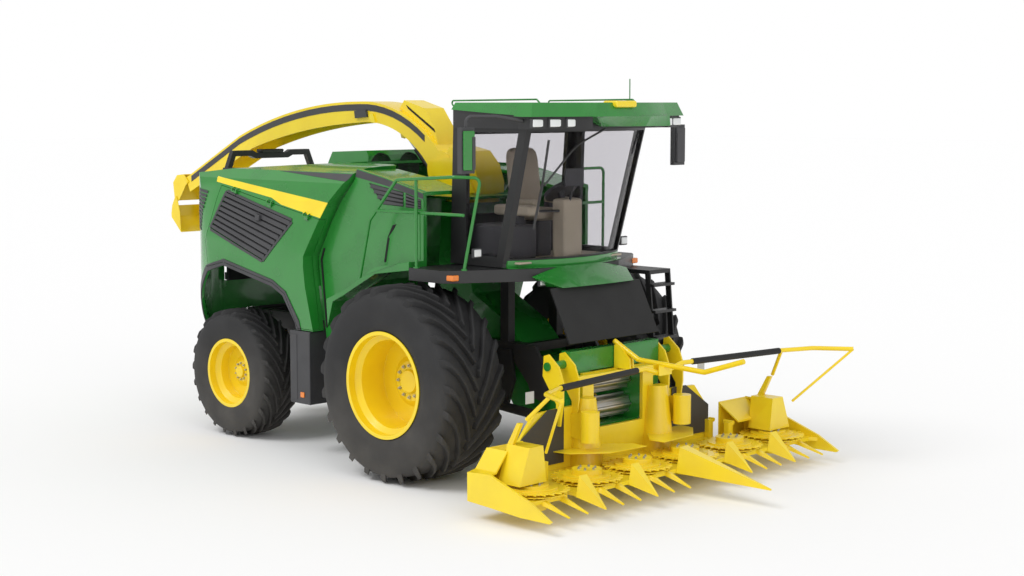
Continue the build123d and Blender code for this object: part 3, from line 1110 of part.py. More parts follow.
# columns: y low, y high, z low, z high of the rear wall's panels round the mouth
WALL_PANELS = [(-MOUTH_HALF, MOUTH_HALF, FLOOR_LOW, 600), (-MOUTH_HALF, MOUTH_HALF, 1120, WALL_TOP),
               (MOUTH_HALF + PIN_GAP, 560, 880 + PIN_GAP, WALL_TOP),
               (-560, -MOUTH_HALF - PIN_GAP, 880 + PIN_GAP, WALL_TOP)]
INNER_ROTORS = [step * ROTOR_PITCH for step in (-1.5, -0.5, 0.5, 1.5)]
SNOUTS = [step * ROTOR_PITCH for step in (-2, -1, 1, 2)]
with BuildPart() as header_frame:
    # Rear wall in panels, and the floor in front of it
    for y_low, y_high, z_low, z_high in WALL_PANELS:
        block(HEADER_REAR_X, WALL_FRONT_X, y_low, y_high, z_low, z_high)
    for side in SIDES.values():
        cross_plate([(side * (MOUTH_HALF + PIN_GAP), FLOOR_LOW), (side * 1500, FLOOR_LOW),
                     (side * 1500, 600), (side * 1270, 860), (side * 560, 880),
                     (side * (MOUTH_HALF + PIN_GAP), 880)], HEADER_REAR_X, WALL_FRONT_X)
    floor_rear = WALL_FRONT_X + PIN_GAP
    flat_plate([(floor_rear, -FLOOR_REAR_Y), (2080, -FLOOR_REAR_Y), (2330, -FLOOR_FRONT_Y),
                (FLOOR_FRONT_X, -FLOOR_FRONT_Y), (FLOOR_FRONT_X, FLOOR_FRONT_Y),
                (2330, FLOOR_FRONT_Y), (2080, FLOOR_REAR_Y), (floor_rear, FLOOR_REAR_Y)],
               FLOOR_LOW, FLOOR_HIGH)
    # Gearboxes below the floor, with the shafts' bores
    for rotor_y in INNER_ROTORS:
        bar((ROTOR_X, rotor_y, GEARBOX_LOW), (ROTOR_X, rotor_y, FLOOR_LOW - PIN_GAP), GEARBOX_RADIUS)
    for rotor_y in INNER_ROTORS:
        bar((ROTOR_X, rotor_y, 170), (ROTOR_X, rotor_y, 270), SHAFT_RADIUS + PIN_GAP, Mode.SUBTRACT)
    # Points: two before each rotor, a snout between rotors and the long centre divider
    point_root = FLOOR_FRONT_X + PIN_GAP
    for rotor_y in INNER_ROTORS:
        for shift_y in (-127, 127):
            point(rotor_y + shift_y, 45, point_root, POINT_TIP_X, POINT_TIP_Z, FLOOR_LOW, FLOOR_HIGH)
    for snout_y in SNOUTS:
        point(snout_y, 100, point_root, POINT_TIP_X, POINT_TIP_Z, FLOOR_LOW, 420)
    point(0, 120, point_root, FRONT_REACH, CENTRE_TIP_Z, FLOOR_LOW, 480)
    for side in SIDES.values():
        # Coupling hooks in pairs beside the intake's beam
        for hook_y in HOOK_PLATES:
            low, high = sorted((side * hook_y, side * (hook_y + HOOK_PLATE)))
            side_plate([(1436, 1395), (1500, 1415), (1640, 1300), (1700, 1150), (1700, 950), (1660, 700),
                        (floor_rear, 700), (floor_rear, 925), (1420, 1190)], low, high)
            cross_bar(HOOK_X, HOOK_Z, HOOK_RADIUS, low, high, Mode.SUBTRACT)
        # Cone and guide beside the mouth, cut off at the wall
        with BuildPart(mode=Mode.PRIVATE) as cone:
            with BuildSketch(GROUND.offset(FLOOR_HIGH + PIN_GAP)):
                with Locations((CONE_X, side * CONE_Y)):
                    Circle(CONE_LOW_RADIUS)
            with BuildSketch(GROUND.offset(CONE_TOP)):
                with Locations((CONE_X, side * CONE_Y)):
                    Circle(CONE_HIGH_RADIUS)
            loft()
            block(1400, floor_rear, -900, 900, 200, 1000, Mode.SUBTRACT)
        add(cone.part)
        # Deflector drum on its plate
        low, high = sorted((side * (DRUM_Y - 8), side * (DRUM_Y + 8)))
        side_plate([(floor_rear, 560), (DRUM_X, 540), (DRUM_X, 850), (floor_rear, 800)], low, high)
        bar((DRUM_X, side * DRUM_Y, 540), (DRUM_X, side * DRUM_Y, 850), DRUM_OUTER)
        # Hinge barrels of the wings, each with its pin
        for lug_x in (1620, 1890):
            low, high = sorted((side * 1440, side * (WING_HINGE_Y - 10)))
            block(lug_x, lug_x + 60, low, high, FLOOR_HIGH + PIN_GAP, WING_HINGE_Z + 10)
            bar((lug_x, side * WING_HINGE_Y, WING_HINGE_Z),
                (lug_x + 60, side * WING_HINGE_Y, WING_HINGE_Z), HINGE_TUBE_RADIUS)
            bar((lug_x - 60, side * WING_HINGE_Y, WING_HINGE_Z),
                (lug_x + 60, side * WING_HINGE_Y, WING_HINGE_Z), HINGE_PIN_RADIUS)
    # Centre guide bar on its stand, with the hinge plates of the push bars
    bent_tube([(1546, 0, 1466), (1875, 0, 1300), (2732, 0, 1262), (3214, 0, 1420)], 27, 120)
    stand_low = WALL_TOP + PIN_GAP
    for side in SIDES.values():
        low, high = sorted((side * 12, side * 34))
        side_plate([(1570, stand_low), (1786, stand_low), (1786, 1240), (1777, 1300), (1640, 1430),
                    (1570, 1430)], low, high)
    # Beam between the hooks
    block(1620, 1680, -HOOK_PLATES[0] + PIN_GAP, HOOK_PLATES[0] - PIN_GAP, 1125, 1180)
    for plate_x in (2150, 2224):
        block(plate_x, plate_x + 10, -100, 100, 1180, 1290)
    for side in SIDES.values():
        bar((2150, side * 72, 1206), (2234, side * 72, 1206), HINGE_PIN_RADIUS)
finish(header_frame, "header_frame")

# Wings with the outer rotors, outer dividers, sheets and posts
for side_name, side in SIDES.items():
    with BuildPart() as wing:
        near = side * (WING_HINGE_Y + WING_GAP)
        rotor_y = side * 2.5 * ROTOR_PITCH
        far = side * 2290
        flat_plate([(1700, near), (2080, near), (2330, side * 1700), (2460, side * 1720),
                    (2460, side * 2230), (2200, far), (1700, side * 2200)], FLOOR_LOW, FLOOR_HIGH)
        bar((ROTOR_X, rotor_y, GEARBOX_LOW), (ROTOR_X, rotor_y, FLOOR_LOW), GEARBOX_RADIUS)
        bar((ROTOR_X, rotor_y, 170), (ROTOR_X, rotor_y, 270), SHAFT_RADIUS + PIN_GAP, Mode.SUBTRACT)
        for shift_y in (-127, 127):
            point(rotor_y + shift_y, 45, 2420, POINT_TIP_X, POINT_TIP_Z, FLOOR_LOW, FLOOR_HIGH)
        # Rear sheet, sloped panel over it, outer corner and the outer arm
        cross_plate([(side * 1560, FLOOR_HIGH), (side * 2240, FLOOR_HIGH), (side * 2200, 456),
                     (side * 2050, 640), (side * 1560, 640)], 1715, 1735)
        low, high = sorted((side * 1560, side * 2060))
        side_plate([(1715, 650), (1990, 470), (1990, 452), (1715, 632)], low, high)
        cross_plate([(side * 2040, 640), (side * 2195, 456), (side * 2300, 440), (side * 2300, 456),
                     (side * 2205, 474), (side * 2052, 655)], 1715, 1990)
        low, high = sorted((side * 2285, side * 2315))
        side_plate([(1715, 175), (2014, 157), (2407, 128), (2780, 128), (2800, 146), (2534, 288),
                    (2014, 470), (1715, 456)], low, high)
        low, high = sorted((side * 2200, side * 2290))
        block(1715, 1735, low, high, 200, 450)
        flat_plate([(2200, side * 2240), (2460, side * 2225), (2540, side * 2290), (2200, side * 2290)],
                   FLOOR_LOW, FLOOR_HIGH)
        # Hood over the rotor's hub
        cross_plate([(side * 1786, HOOD_LOW), (side * 2151, HOOD_LOW), (side * 2017, HOOD_TOP),
                     (side * 1830, HOOD_TOP)], 1960, 2250)
        cross_plate([(side * 1794, HOOD_LOW - 1), (side * 2141, HOOD_LOW - 1), (side * 2012, HOOD_TOP - 8),
                     (side * 1838, HOOD_TOP - 8)], 1950, 2242, Mode.SUBTRACT)
        # Post of the push bar
        post_low, post_high = sorted((side * 1965, side * 2005))
        side_plate([(1765, FLOOR_HIGH), (1765, 400), (2070, 930), (2120, 930), (1796, FLOOR_HIGH)],
                   post_low, post_high)
        # Hinge lug round the pin between the centre section's barrels
        low, high = sorted((near, side * (WING_HINGE_Y + 60)))
        block(1824, 1884, low, high, FLOOR_LOW, WING_HINGE_Z)
        lug_ends = ((1824, side * WING_HINGE_Y, WING_HINGE_Z), (1884, side * WING_HINGE_Y, WING_HINGE_Z))
        bar(*lug_ends, HINGE_TUBE_RADIUS)
        bar(*lug_ends, HINGE_PIN_RADIUS + PIN_GAP, Mode.SUBTRACT)
    finish(wing, f"header_wing_{side_name}")

# Push bars, hinged under the centre guide bar
for side_name, side in SIDES.items():
    with BuildPart() as push_bar:
        bar((2166, side * 72, 1206), (2218, side * 72, 1206), 26)
        bent_tube([(2192, side * 84, 1212), (2209, side * 295, 1273), (2392, side * 1780, 1268),
                   (2560, side * 2130, 1274), (2944, side * 2330, 1281)], 24, 90)
        bar((2944, side * 2330, 1281), (2412, side * 1965, 690), 14)
        bar((2392, side * 1780, 1268), (2150, side * 1960, 960), 20)
        bar((2166, side * 72, 1206), (2218, side * 72, 1206), 12 + PIN_GAP, Mode.SUBTRACT)
    finish(push_bar, f"push_bar_{side_name}")

# Rotors: toothed disc, ring and hub on a shaft
TEETH = 24
ROTOR_ROOT_RADIUS = 300.0
ROTOR_HUB_RADIUS = 150.0
ROTOR_FLANGE_RADIUS = 235.0
LOWER_TIER_Z = 274.0
LOWER_TIER_RADIUS = 320.0
OUTER_HUB_TOP = 350.0
INNER_HUB_TOP = 385.0
for number in range(6):
    rotor_y = (number - 2.5) * ROTOR_PITCH
    with BuildPart() as rotor:
        with BuildSketch(GROUND.offset(ROTOR_Z)):
            with Locations((ROTOR_X, rotor_y)):
                Circle(ROTOR_ROOT_RADIUS)
                with PolarLocations(ROTOR_ROOT_RADIUS - 6, TEETH):
                    Polygon((0, -22), (ROTOR_RADIUS - ROTOR_ROOT_RADIUS + 6, 18), (0, 22), align=None)
        extrude(amount=14)
        with BuildSketch(GROUND.offset(LOWER_TIER_Z)):
            with Locations((ROTOR_X, rotor_y)):
                Circle(LOWER_TIER_RADIUS)
                with PolarLocations(LOWER_TIER_RADIUS - 4, TEETH):
                    Rectangle(36, 14)
        extrude(amount=8)
        hub_top = OUTER_HUB_TOP if number in (0, 5) else INNER_HUB_TOP
        bar((ROTOR_X, rotor_y, LOWER_TIER_Z), (ROTOR_X, rotor_y, 332), ROTOR_FLANGE_RADIUS)
        bar((ROTOR_X, rotor_y, 330), (ROTOR_X, rotor_y, hub_top), ROTOR_HUB_RADIUS)
        bar((ROTOR_X, rotor_y, 176), (ROTOR_X, rotor_y, 292), SHAFT_RADIUS)
    finish(rotor, f"rotor_{number + 1}")
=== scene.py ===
import json
from math import cos, pi, radians, sin, tau

import bmesh
import bpy
from mathutils import Matrix, Vector


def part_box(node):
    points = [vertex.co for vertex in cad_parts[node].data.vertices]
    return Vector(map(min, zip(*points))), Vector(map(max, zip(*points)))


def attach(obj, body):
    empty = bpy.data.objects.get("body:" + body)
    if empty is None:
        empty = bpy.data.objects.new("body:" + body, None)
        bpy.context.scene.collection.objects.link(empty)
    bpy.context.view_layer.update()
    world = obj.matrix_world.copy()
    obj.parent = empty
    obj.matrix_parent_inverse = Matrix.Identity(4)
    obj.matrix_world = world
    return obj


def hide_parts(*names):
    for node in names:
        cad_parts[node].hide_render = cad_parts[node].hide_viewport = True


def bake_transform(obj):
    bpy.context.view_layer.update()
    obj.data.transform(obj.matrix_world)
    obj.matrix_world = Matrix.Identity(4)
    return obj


# The self-propelled forage harvester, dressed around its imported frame. Metres, +X forward,
# +Y to the machine's left, +Z up. Machine places are given from the front axle's ground point.
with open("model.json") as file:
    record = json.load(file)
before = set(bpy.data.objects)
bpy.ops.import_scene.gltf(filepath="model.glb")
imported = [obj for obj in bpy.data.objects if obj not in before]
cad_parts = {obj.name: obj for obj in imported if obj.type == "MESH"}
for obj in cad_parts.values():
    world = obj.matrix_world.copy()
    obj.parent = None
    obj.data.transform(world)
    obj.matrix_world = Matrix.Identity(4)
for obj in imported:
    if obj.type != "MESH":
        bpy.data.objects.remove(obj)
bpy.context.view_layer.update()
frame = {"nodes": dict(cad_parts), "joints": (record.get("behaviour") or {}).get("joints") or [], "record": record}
joint_places = {joint["name"]: joint.get("pos_m") for joint in frame["joints"]}
front_axle = Vector((joint_places["front_wheel_left_spin"][0], 0, 0))
scene = bpy.context.scene

# Camera and studio: the photograph's viewpoint, a long lens in front of the machine's right front
# corner, over a white paper floor under an even sky and two soft lamps.
CAMERA_PLACE = front_axle + Vector((13.4142, -13.7187, 3.9477))
CAMERA_HEADING = 134.24
CAMERA_DIP = -6.08
CAMERA_REACH = 400.0
SENSOR = 36.0
LENS = 61.63
SKY_STRENGTH = 0.72
WHITE = (1, 1, 1, 1)
# columns: name, direction the light comes from, strength, softness in degrees
LAMPS = [("key", (-0.25, -0.75, 1.0), 1.15, 28), ("front", (1.0, -0.5, 0.45), 0.55, 50)]
FLOOR_SIZE = 300.0
FLOOR_COLOUR = (0.93, 0.93, 0.93, 1)


def ranged(tree, source, values):
    """What a source gives, brought into another range."""
    node = tree.nodes.new("ShaderNodeMapRange")
    for socket, value in values.items():
        node.inputs[socket].default_value = value
    tree.links.new(source, node.inputs["Value"])
    return node.outputs["Result"]


def placed(name, data):
    """An object of the scene at the origin."""
    thing = bpy.data.objects.new(name, data)
    scene.collection.objects.link(thing)
    return thing


camera = placed("camera", bpy.data.cameras.new("camera"))
camera.data.sensor_width = SENSOR
camera.data.lens = LENS
camera.data.clip_end = CAMERA_REACH
camera.location = CAMERA_PLACE
heading, dip = radians(CAMERA_HEADING), radians(CAMERA_DIP)
look = Vector((cos(heading) * cos(dip), sin(heading) * cos(dip), sin(dip)))
camera.rotation_mode = "QUATERNION"
camera.rotation_quaternion = look.to_track_quat("-Z", "Y")
scene.camera = camera
scene.view_settings.view_transform = "Standard"

world = bpy.data.worlds.new("studio")
scene.world = world
world.use_nodes = True
nodes, links = world.node_tree.nodes, world.node_tree.links
path = nodes.new("ShaderNodeLightPath")
seen = nodes.new("ShaderNodeMath")
seen.operation = "MAXIMUM"
links.new(path.outputs["Is Camera Ray"], seen.inputs[0])
links.new(path.outputs["Is Transmission Ray"], seen.inputs[1])
level = ranged(world.node_tree, seen.outputs[0], {"To Min": SKY_STRENGTH, "To Max": 1.0})
nodes["Background"].inputs["Color"].default_value = WHITE
links.new(level, nodes["Background"].inputs["Strength"])

for lamp_name, comes_from, strength, softness in LAMPS:
    lamp = placed(lamp_name, bpy.data.lights.new(lamp_name, "SUN"))
    lamp.data.energy = strength
    lamp.data.angle = radians(softness)
    lamp.rotation_mode = "QUATERNION"
    lamp.rotation_quaternion = Vector(comes_from).to_track_quat("Z", "Y")

floor_mesh = bpy.data.meshes.new("floor")
half = FLOOR_SIZE / 2
floor_mesh.from_pydata([(-half, -half, 0), (half, -half, 0), (half, half, 0), (-half, half, 0)], [],
                       [(0, 1, 2, 3)])
floor = placed("floor", floor_mesh)
paper = bpy.data.materials.new("floor_paper")
paper.use_nodes = True
paper_nodes = paper.node_tree.nodes
paper_nodes.remove(paper_nodes["Principled BSDF"])
matt = paper_nodes.new("ShaderNodeBsdfDiffuse")
matt.inputs["Color"].default_value = FLOOR_COLOUR
paper.node_tree.links.new(matt.outputs[0], paper_nodes["Material Output"].inputs["Surface"])
floor_mesh.materials.append(paper)

# Chassis: welded rails, axles and knuckles under satin black paint, bolted together, with dust
# low down. A bare steel rod steers the rear knuckles.
CLOUD_SIZE, CLOUD_DETAIL = 3.0, 6.0
CLOUD_FROM, CLOUD_TO = 0.42, 0.72
SHADE = 0.86
DUST_COLOUR = (0.32, 0.29, 0.24, 1)
DUST_TOP, DUST_FOOT = 1.3, 0.1
EDGE_FROM, EDGE_TO = 0.53, 0.60
EDGE_GAIN, EDGE_LIFT = 1.5, 0.05
GLOSS_LOW, GLOSS_HIGH = 0.85, 1.2
GRAIN_STRENGTH = 0.25
COAT_ROUGHNESS = 0.08
PLATE_EDGE = 0.006
SHARPEST = 28
WELD = 0.0002
FLAT = 0.6


def mixed(tree, first, second, factor):
    """A colour, or what another node gives, mixed with a second colour by a factor."""
    mix = tree.nodes.new("ShaderNodeMix")
    mix.data_type = "RGBA"
    if isinstance(first, tuple):
        mix.inputs["A"].default_value = first
    else:
        tree.links.new(first, mix.inputs["A"])
    mix.inputs["B"].default_value = second
    tree.links.new(factor, mix.inputs["Factor"])
    return mix.outputs["Result"]


def finish_of(name, colour, roughness, metallic=0.0, coat=0.0, wear=0.0, grain=0.002, grain_size=900.0,
              dust=0.0, second=None):
    """A painted, moulded or metal finish with uneven gloss, fine grain and a little dust low down."""
    made = bpy.data.materials.new(name)
    made.use_nodes = True
    tree = made.node_tree
    make, wire = tree.nodes.new, tree.links.new
    shader = tree.nodes["Principled BSDF"]
    place = make("ShaderNodeTexCoord").outputs["Object"]
    noise = make("ShaderNodeTexNoise")
    noise.inputs["Scale"].default_value = CLOUD_SIZE
    noise.inputs["Detail"].default_value = CLOUD_DETAIL
    wire(place, noise.inputs["Vector"])
    cloud = noise.outputs["Fac"]
    darker = second or tuple(SHADE * value for value in colour)
    spread = ranged(tree, cloud, {"From Min": CLOUD_FROM, "From Max": CLOUD_TO})
    tint = mixed(tree, (*colour, 1), (*darker, 1), spread)
    if dust:
        height = make("ShaderNodeSeparateXYZ")
        wire(place, height.inputs[0])
        low = ranged(tree, height.outputs["Z"],
                     {"From Min": DUST_TOP, "From Max": DUST_FOOT, "To Max": dust})
        patches = make("ShaderNodeMath")
        patches.operation = "MULTIPLY"
        wire(low, patches.inputs[0])
        wire(cloud, patches.inputs[1])
        tint = mixed(tree, tint, DUST_COLOUR, patches.outputs[0])
    if wear:
        edge = make("ShaderNodeNewGeometry").outputs["Pointiness"]
        sharp = ranged(tree, edge, {"From Min": EDGE_FROM, "From Max": EDGE_TO, "To Max": wear})
        bright = [min(1.0, value * EDGE_GAIN + EDGE_LIFT) for value in colour]
        tint = mixed(tree, tint, (*bright, 1), sharp)
    wire(tint, shader.inputs["Base Color"])
    gloss = {"To Min": roughness * GLOSS_LOW, "To Max": min(1.0, roughness * GLOSS_HIGH)}
    wire(ranged(tree, cloud, gloss), shader.inputs["Roughness"])
    grit = make("ShaderNodeTexNoise")
    grit.inputs["Scale"].default_value = grain_size
    wire(place, grit.inputs["Vector"])
    bump = make("ShaderNodeBump")
    bump.inputs["Distance"].default_value = grain
    bump.inputs["Strength"].default_value = GRAIN_STRENGTH
    wire(grit.outputs["Fac"], bump.inputs["Height"])
    wire(bump.outputs["Normal"], shader.inputs["Normal"])
    for socket, value in (("Metallic", metallic), ("Coat Weight", coat),
                          ("Coat Roughness", COAT_ROUGHNESS)):
        shader.inputs[socket].default_value = value
    return made


def fit(piece, body, slot, finish, *stands_for):
    """Gives a finished piece its material and its body, and hides the parts it stands for; the slot is not used.
    """
    if finish:
        piece.data.materials.clear()
        piece.data.materials.append(finish)
    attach(piece, body)
    if stands_for:
        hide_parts(*stands_for)
    return piece


def made_mesh(piece):
    """The plain mesh that a piece's modifiers or its curve make."""
    bpy.context.view_layer.update()
    return bpy.data.meshes.new_from_object(piece.evaluated_get(bpy.context.evaluated_depsgraph_get()))


def shade_smooth(piece):
    """Shades a piece smoothly across its edges."""
    for face in piece.data.polygons:
        face.use_smooth = True


def round_edges(piece, width, segments=2, sharpest=SHARPEST):
    """Rounds a piece's edges, as folded sheet and mouldings have them, and makes the rounding real."""
    edges = piece.modifiers.new("edges", "BEVEL")
    edges.width = width
    edges.segments = segments
    edges.limit_method = "ANGLE"
    edges.angle_limit = radians(sharpest)
    edges.harden_normals = True
    shade_smooth(piece)
    made = made_mesh(piece)
    piece.modifiers.clear()
    piece.data = made
    return piece


def softened(node, width, segments=2, sharpest=SHARPEST):
    """A copy of a CAD node with flat faces joined and edges rounded."""
    mesh = bmesh.new()
    mesh.from_mesh(frame["nodes"][node].data)
    bmesh.ops.remove_doubles(mesh, verts=mesh.verts, dist=WELD)
    bmesh.ops.dissolve_limit(mesh, angle_limit=radians(FLAT), verts=mesh.verts, edges=mesh.edges)
    mesh.verts.index_update()
    corners = [vert.co.copy() for vert in mesh.verts]
    faces = [[vert.index for vert in face.verts] for face in mesh.faces]
    mesh.free()
    data = bpy.data.meshes.new(f"{node}_made")
    data.from_pydata(corners, [], faces)
    return round_edges(placed(f"{node}_made", data), width, segments, sharpest)


satin_black = finish_of("satin_black", (0.014, 0.014, 0.015), 0.42, dust=0.22, wear=0.3)
worn_steel = finish_of("worn_steel", (0.5, 0.5, 0.5), 0.3, metallic=1.0, wear=0.3)
bodies = frame["record"]["behaviour"]["bodies"]
body_of_node = {member: body_name for body_name, members in bodies.items() for member in members}
slot_of_node = {row["node"]: row["material_slot"] for row in frame["record"]["subparts"]}


def dress(node, finish, width=PLATE_EDGE, segments=2, sharpest=SHARPEST):
    """Replaces a CAD node by its softened copy in a finish."""
    piece = softened(node, width, segments, sharpest)
    return fit(piece, body_of_node[node], slot_of_node[node], finish, node)


for node in ("main_frame", "front_axle", "rear_axle", "knuckle_left", "knuckle_right"):
    dress(node, satin_black)
dress("steering_rod", worn_steel)

# Tyres: deep-lugged farm tyres in black rubber, seated on their rims. The side wall is smooth, and
# long curved lugs run from each shoulder to the tread's middle, set by turns left and right.
SIDES = {"left": 1, "right": -1}
rubber = finish_of("tyre_rubber", (0.014, 0.014, 0.015), 0.72, dust=0.28, grain=0.004, grain_size=400.0,
                   second=(0.026, 0.026, 0.027))
# columns: axle, lugs on each side, lug height
TYRES = [("front", 23, 0.058), ("rear", 22, 0.045)]
BEAD_LIFT, BEAD_SINK, BEAD_SHARE = 0.004, 0.02, 0.7
SEAM = 0.0001
LUG_SWEEP = 2.1
LUG_INSET = 0.018
LUG_ROOT, ROOT_SPREAD = 0.02, 1.5
LUG_FALL = 0.42
LUG_SCALE = 1.034
LUG_EDGE, LUG_SHARPEST = 0.009, 30
# columns: share of the half width from the shoulder, share of the sweep, half thickness, drop
LUG_STATIONS = [(1.0, -0.04, 0.040, 0.30), (0.955, 0.0, 0.036, 0.085), (0.86, 0.05, 0.030, 0.022),
                (0.66, 0.20, 0.027, 0.007), (0.44, 0.45, 0.026, 0.002), (0.22, 0.76, 0.027, 0.0),
                (0.04, 1.0, 0.032, 0.0)]


def piece_from(name, mesh):
    """A piece at the origin from a bmesh, with its faces pointing out."""
    bmesh.ops.recalc_face_normals(mesh, faces=mesh.faces)
    data = bpy.data.meshes.new(name)
    mesh.to_mesh(data)
    mesh.free()
    return placed(name, data)


def join_rows(mesh, near, far):
    """Faces between two closed rows of points."""
    for corner in range(len(near)):
        follow = (corner + 1) % len(near)
        mesh.faces.new((near[corner], near[follow], far[follow], far[corner]))


def close_run(mesh, rows):
    """Faces along a run of closed rows of points, and over both its ends."""
    for near, far in zip(rows, rows[1:]):
        join_rows(mesh, near, far)
    mesh.faces.new(rows[0])
    mesh.faces.new(rows[-1])


def turned(name, section, centre, segments=96):
    """A closed ring turned about an axis across the machine, from (outward, radius) points."""
    mesh = bmesh.new()
    rings = []
    for step in range(segments):
        angle = tau * step / segments
        rings.append([mesh.verts.new((centre[0] + radius * sin(angle), centre[1] + across,
                                      centre[2] + radius * cos(angle))) for across, radius in section])
    for near, far in zip(rings, rings[1:] + rings[:1]):
        join_rows(mesh, near, far)
    bmesh.ops.remove_doubles(mesh, verts=mesh.verts, dist=SEAM)
    piece = piece_from(name, mesh)
    shade_smooth(piece)
    return piece


def copies_of(name, seed, count, finish, start, step=(0, 0, 0), phase=(0, 0, 0), turn=(0, 0, 0)):
    """Copies of a seed mesh in a row or round a ring by Geometry Nodes, made one plain mesh."""
    tree = bpy.data.node_groups.new(f"{name}_copies", "GeometryNodeTree")
    face = tree.interface
    for label, kind in (("Seed", "Geometry"), ("Count", "Int"), ("Start", "Vector"), ("Step", "Vector"),
                        ("Phase", "Vector"), ("Turn", "Vector"), ("Finish", "Material")):
        face.new_socket(label, in_out="INPUT", socket_type=f"NodeSocket{kind}")
    face.new_socket("Copies", in_out="OUTPUT", socket_type="NodeSocketGeometry")
    make, wire = tree.nodes.new, tree.links.new
    given, made = make("NodeGroupInput"), make("NodeGroupOutput")
    points, index = make("GeometryNodePoints"), make("GeometryNodeInputIndex")
    copies, real = make("GeometryNodeInstanceOnPoints"), make("GeometryNodeRealizeInstances")
    paint = make("GeometryNodeSetMaterial")
    wire(given.outputs["Count"], points.inputs["Count"])
    for base, change, target in (("Start", "Step", points.inputs["Position"]),
                                 ("Phase", "Turn", copies.inputs["Rotation"])):
        grown, total = make("ShaderNodeVectorMath"), make("ShaderNodeVectorMath")
        grown.operation, total.operation = "SCALE", "ADD"
        wire(given.outputs[change], grown.inputs[0])
        wire(index.outputs[0], grown.inputs["Scale"])
        wire(given.outputs[base], total.inputs[0])
        wire(grown.outputs[0], total.inputs[1])
        wire(total.outputs[0], target)
    wire(points.outputs[0], copies.inputs["Points"])
    wire(given.outputs["Seed"], copies.inputs["Instance"])
    wire(copies.outputs[0], real.inputs[0])
    wire(real.outputs[0], paint.inputs["Geometry"])
    wire(given.outputs["Finish"], paint.inputs["Material"])
    wire(paint.outputs[0], made.inputs["Copies"])
    maker = seed.modifiers.new("copies", "NODES")
    maker.node_group = tree
    settings = {"Count": count, "Start": tuple(start), "Step": tuple(step), "Phase": tuple(phase),
                "Turn": tuple(turn), "Finish": finish}
    for item in face.items_tree:
        if item.item_type == "SOCKET" and item.in_out == "INPUT" and item.name in settings:
            maker[item.identifier] = settings[item.name]
    data = made_mesh(seed)
    data.name = name
    bpy.data.objects.remove(seed)
    return placed(name, data)


def join_into(first, other):
    """Adds another piece's faces to the first one."""
    mesh = bmesh.new()
    mesh.from_mesh(first.data)
    mesh.from_mesh(other.data)
    bpy.data.objects.remove(other)
    mesh.to_mesh(first.data)
    mesh.free()


def lug(half_width, radius, height, pitch, side):
    """One long lug from the shoulder to the tread's middle, leading at the middle."""
    mesh = bmesh.new()
    rows = []
    for share, sweep, thickness, drop in LUG_STATIONS:
        across = side * share * (half_width - LUG_INSET)
        angle = sweep * LUG_SWEEP * pitch / radius
        outer = radius - drop * LUG_FALL
        inner = outer - height - LUG_ROOT
        half_angle = thickness / LUG_SCALE
        row = []
        for edge, depth, grow in ((-1, inner, ROOT_SPREAD), (-1, outer, 1.0), (1, outer, 1.0),
                                  (1, inner, ROOT_SPREAD)):
            turn = angle + edge * half_angle * grow
            row.append(mesh.verts.new((depth * sin(turn), across, depth * cos(turn))))
        rows.append(row)
    close_run(mesh, rows)
    return round_edges(piece_from("lug", mesh), LUG_EDGE, 2, LUG_SHARPEST)


for axle, lugs, lug_height in TYRES:
    for side_name in SIDES:
        node = f"{axle}_tyre_{side_name}"
        low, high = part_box(node)
        centre = (low + high) / 2
        radius = (high.z - low.z) / 2
        half_width = (high.y - low.y) / 2
        rim_low, rim_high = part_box(f"{axle}_rim_{side_name}")
        bead = (rim_high.z - rim_low.z) / 2 + BEAD_LIFT
        base = radius - lug_height
        # columns: outward share, radius, from the inner bead round the tread to the outer bead
        wall = [(-0.86, bead - BEAD_SINK), (-0.93, bead + 0.012), (-0.985, bead + 0.10),
                (-1.0, (bead + base) / 2), (-0.99, base - 0.12), (-0.955, base - 0.055),
                (-0.88, base - 0.018), (-0.6, base - 0.004), (0.0, base)]
        section = [(share * half_width, r) for share, r in wall]
        section += [(-share * half_width, r) for share, r in reversed(wall[:-1])]
        section += [(share * half_width, bead - BEAD_SINK) for share in (BEAD_SHARE, -BEAD_SHARE)]
        carcass = turned(f"{node}_made", section, centre)
        pitch = tau * radius / lugs
        for lug_side, phase in ((1, 0.0), (-1, pi / lugs)):
            seed = lug(half_width, radius, lug_height, pitch, lug_side)
            ring = copies_of("lugs", seed, lugs, rubber, centre, phase=(0, phase, 0),
                             turn=(0, tau / lugs, 0))
            join_into(carcass, ring)
        fit(carcass, body_of_node[node], "tyre", rubber, node)

# Rims: deep dished steel rims under yellow paint, each bolted to its hub by a ring of studs with
# hexagonal nuts. The studs are one seed mesh set round the hub by Geometry Nodes.
gloss_yellow = finish_of("gloss_yellow", (0.92, 0.67, 0.008), 0.30, coat=0.30, wear=0.2, dust=0.10,
                         second=(0.87, 0.61, 0.006))
zinc = finish_of("zinc_plate", (0.55, 0.55, 0.52), 0.35, metallic=0.9)
RIM_EDGE = 0.004
NUT_TAPER, STUD_FOOT, STUD_TIP, STUD_RISE = 0.46, 0.27, 0.22, 1.8
# columns: axle, studs, nut across its flats, stud circle's radius, hub face outward of the centre
HUBS = [("front", 12, 0.040, 0.168, 0.012), ("rear", 10, 0.028, 0.098, 0.052)]


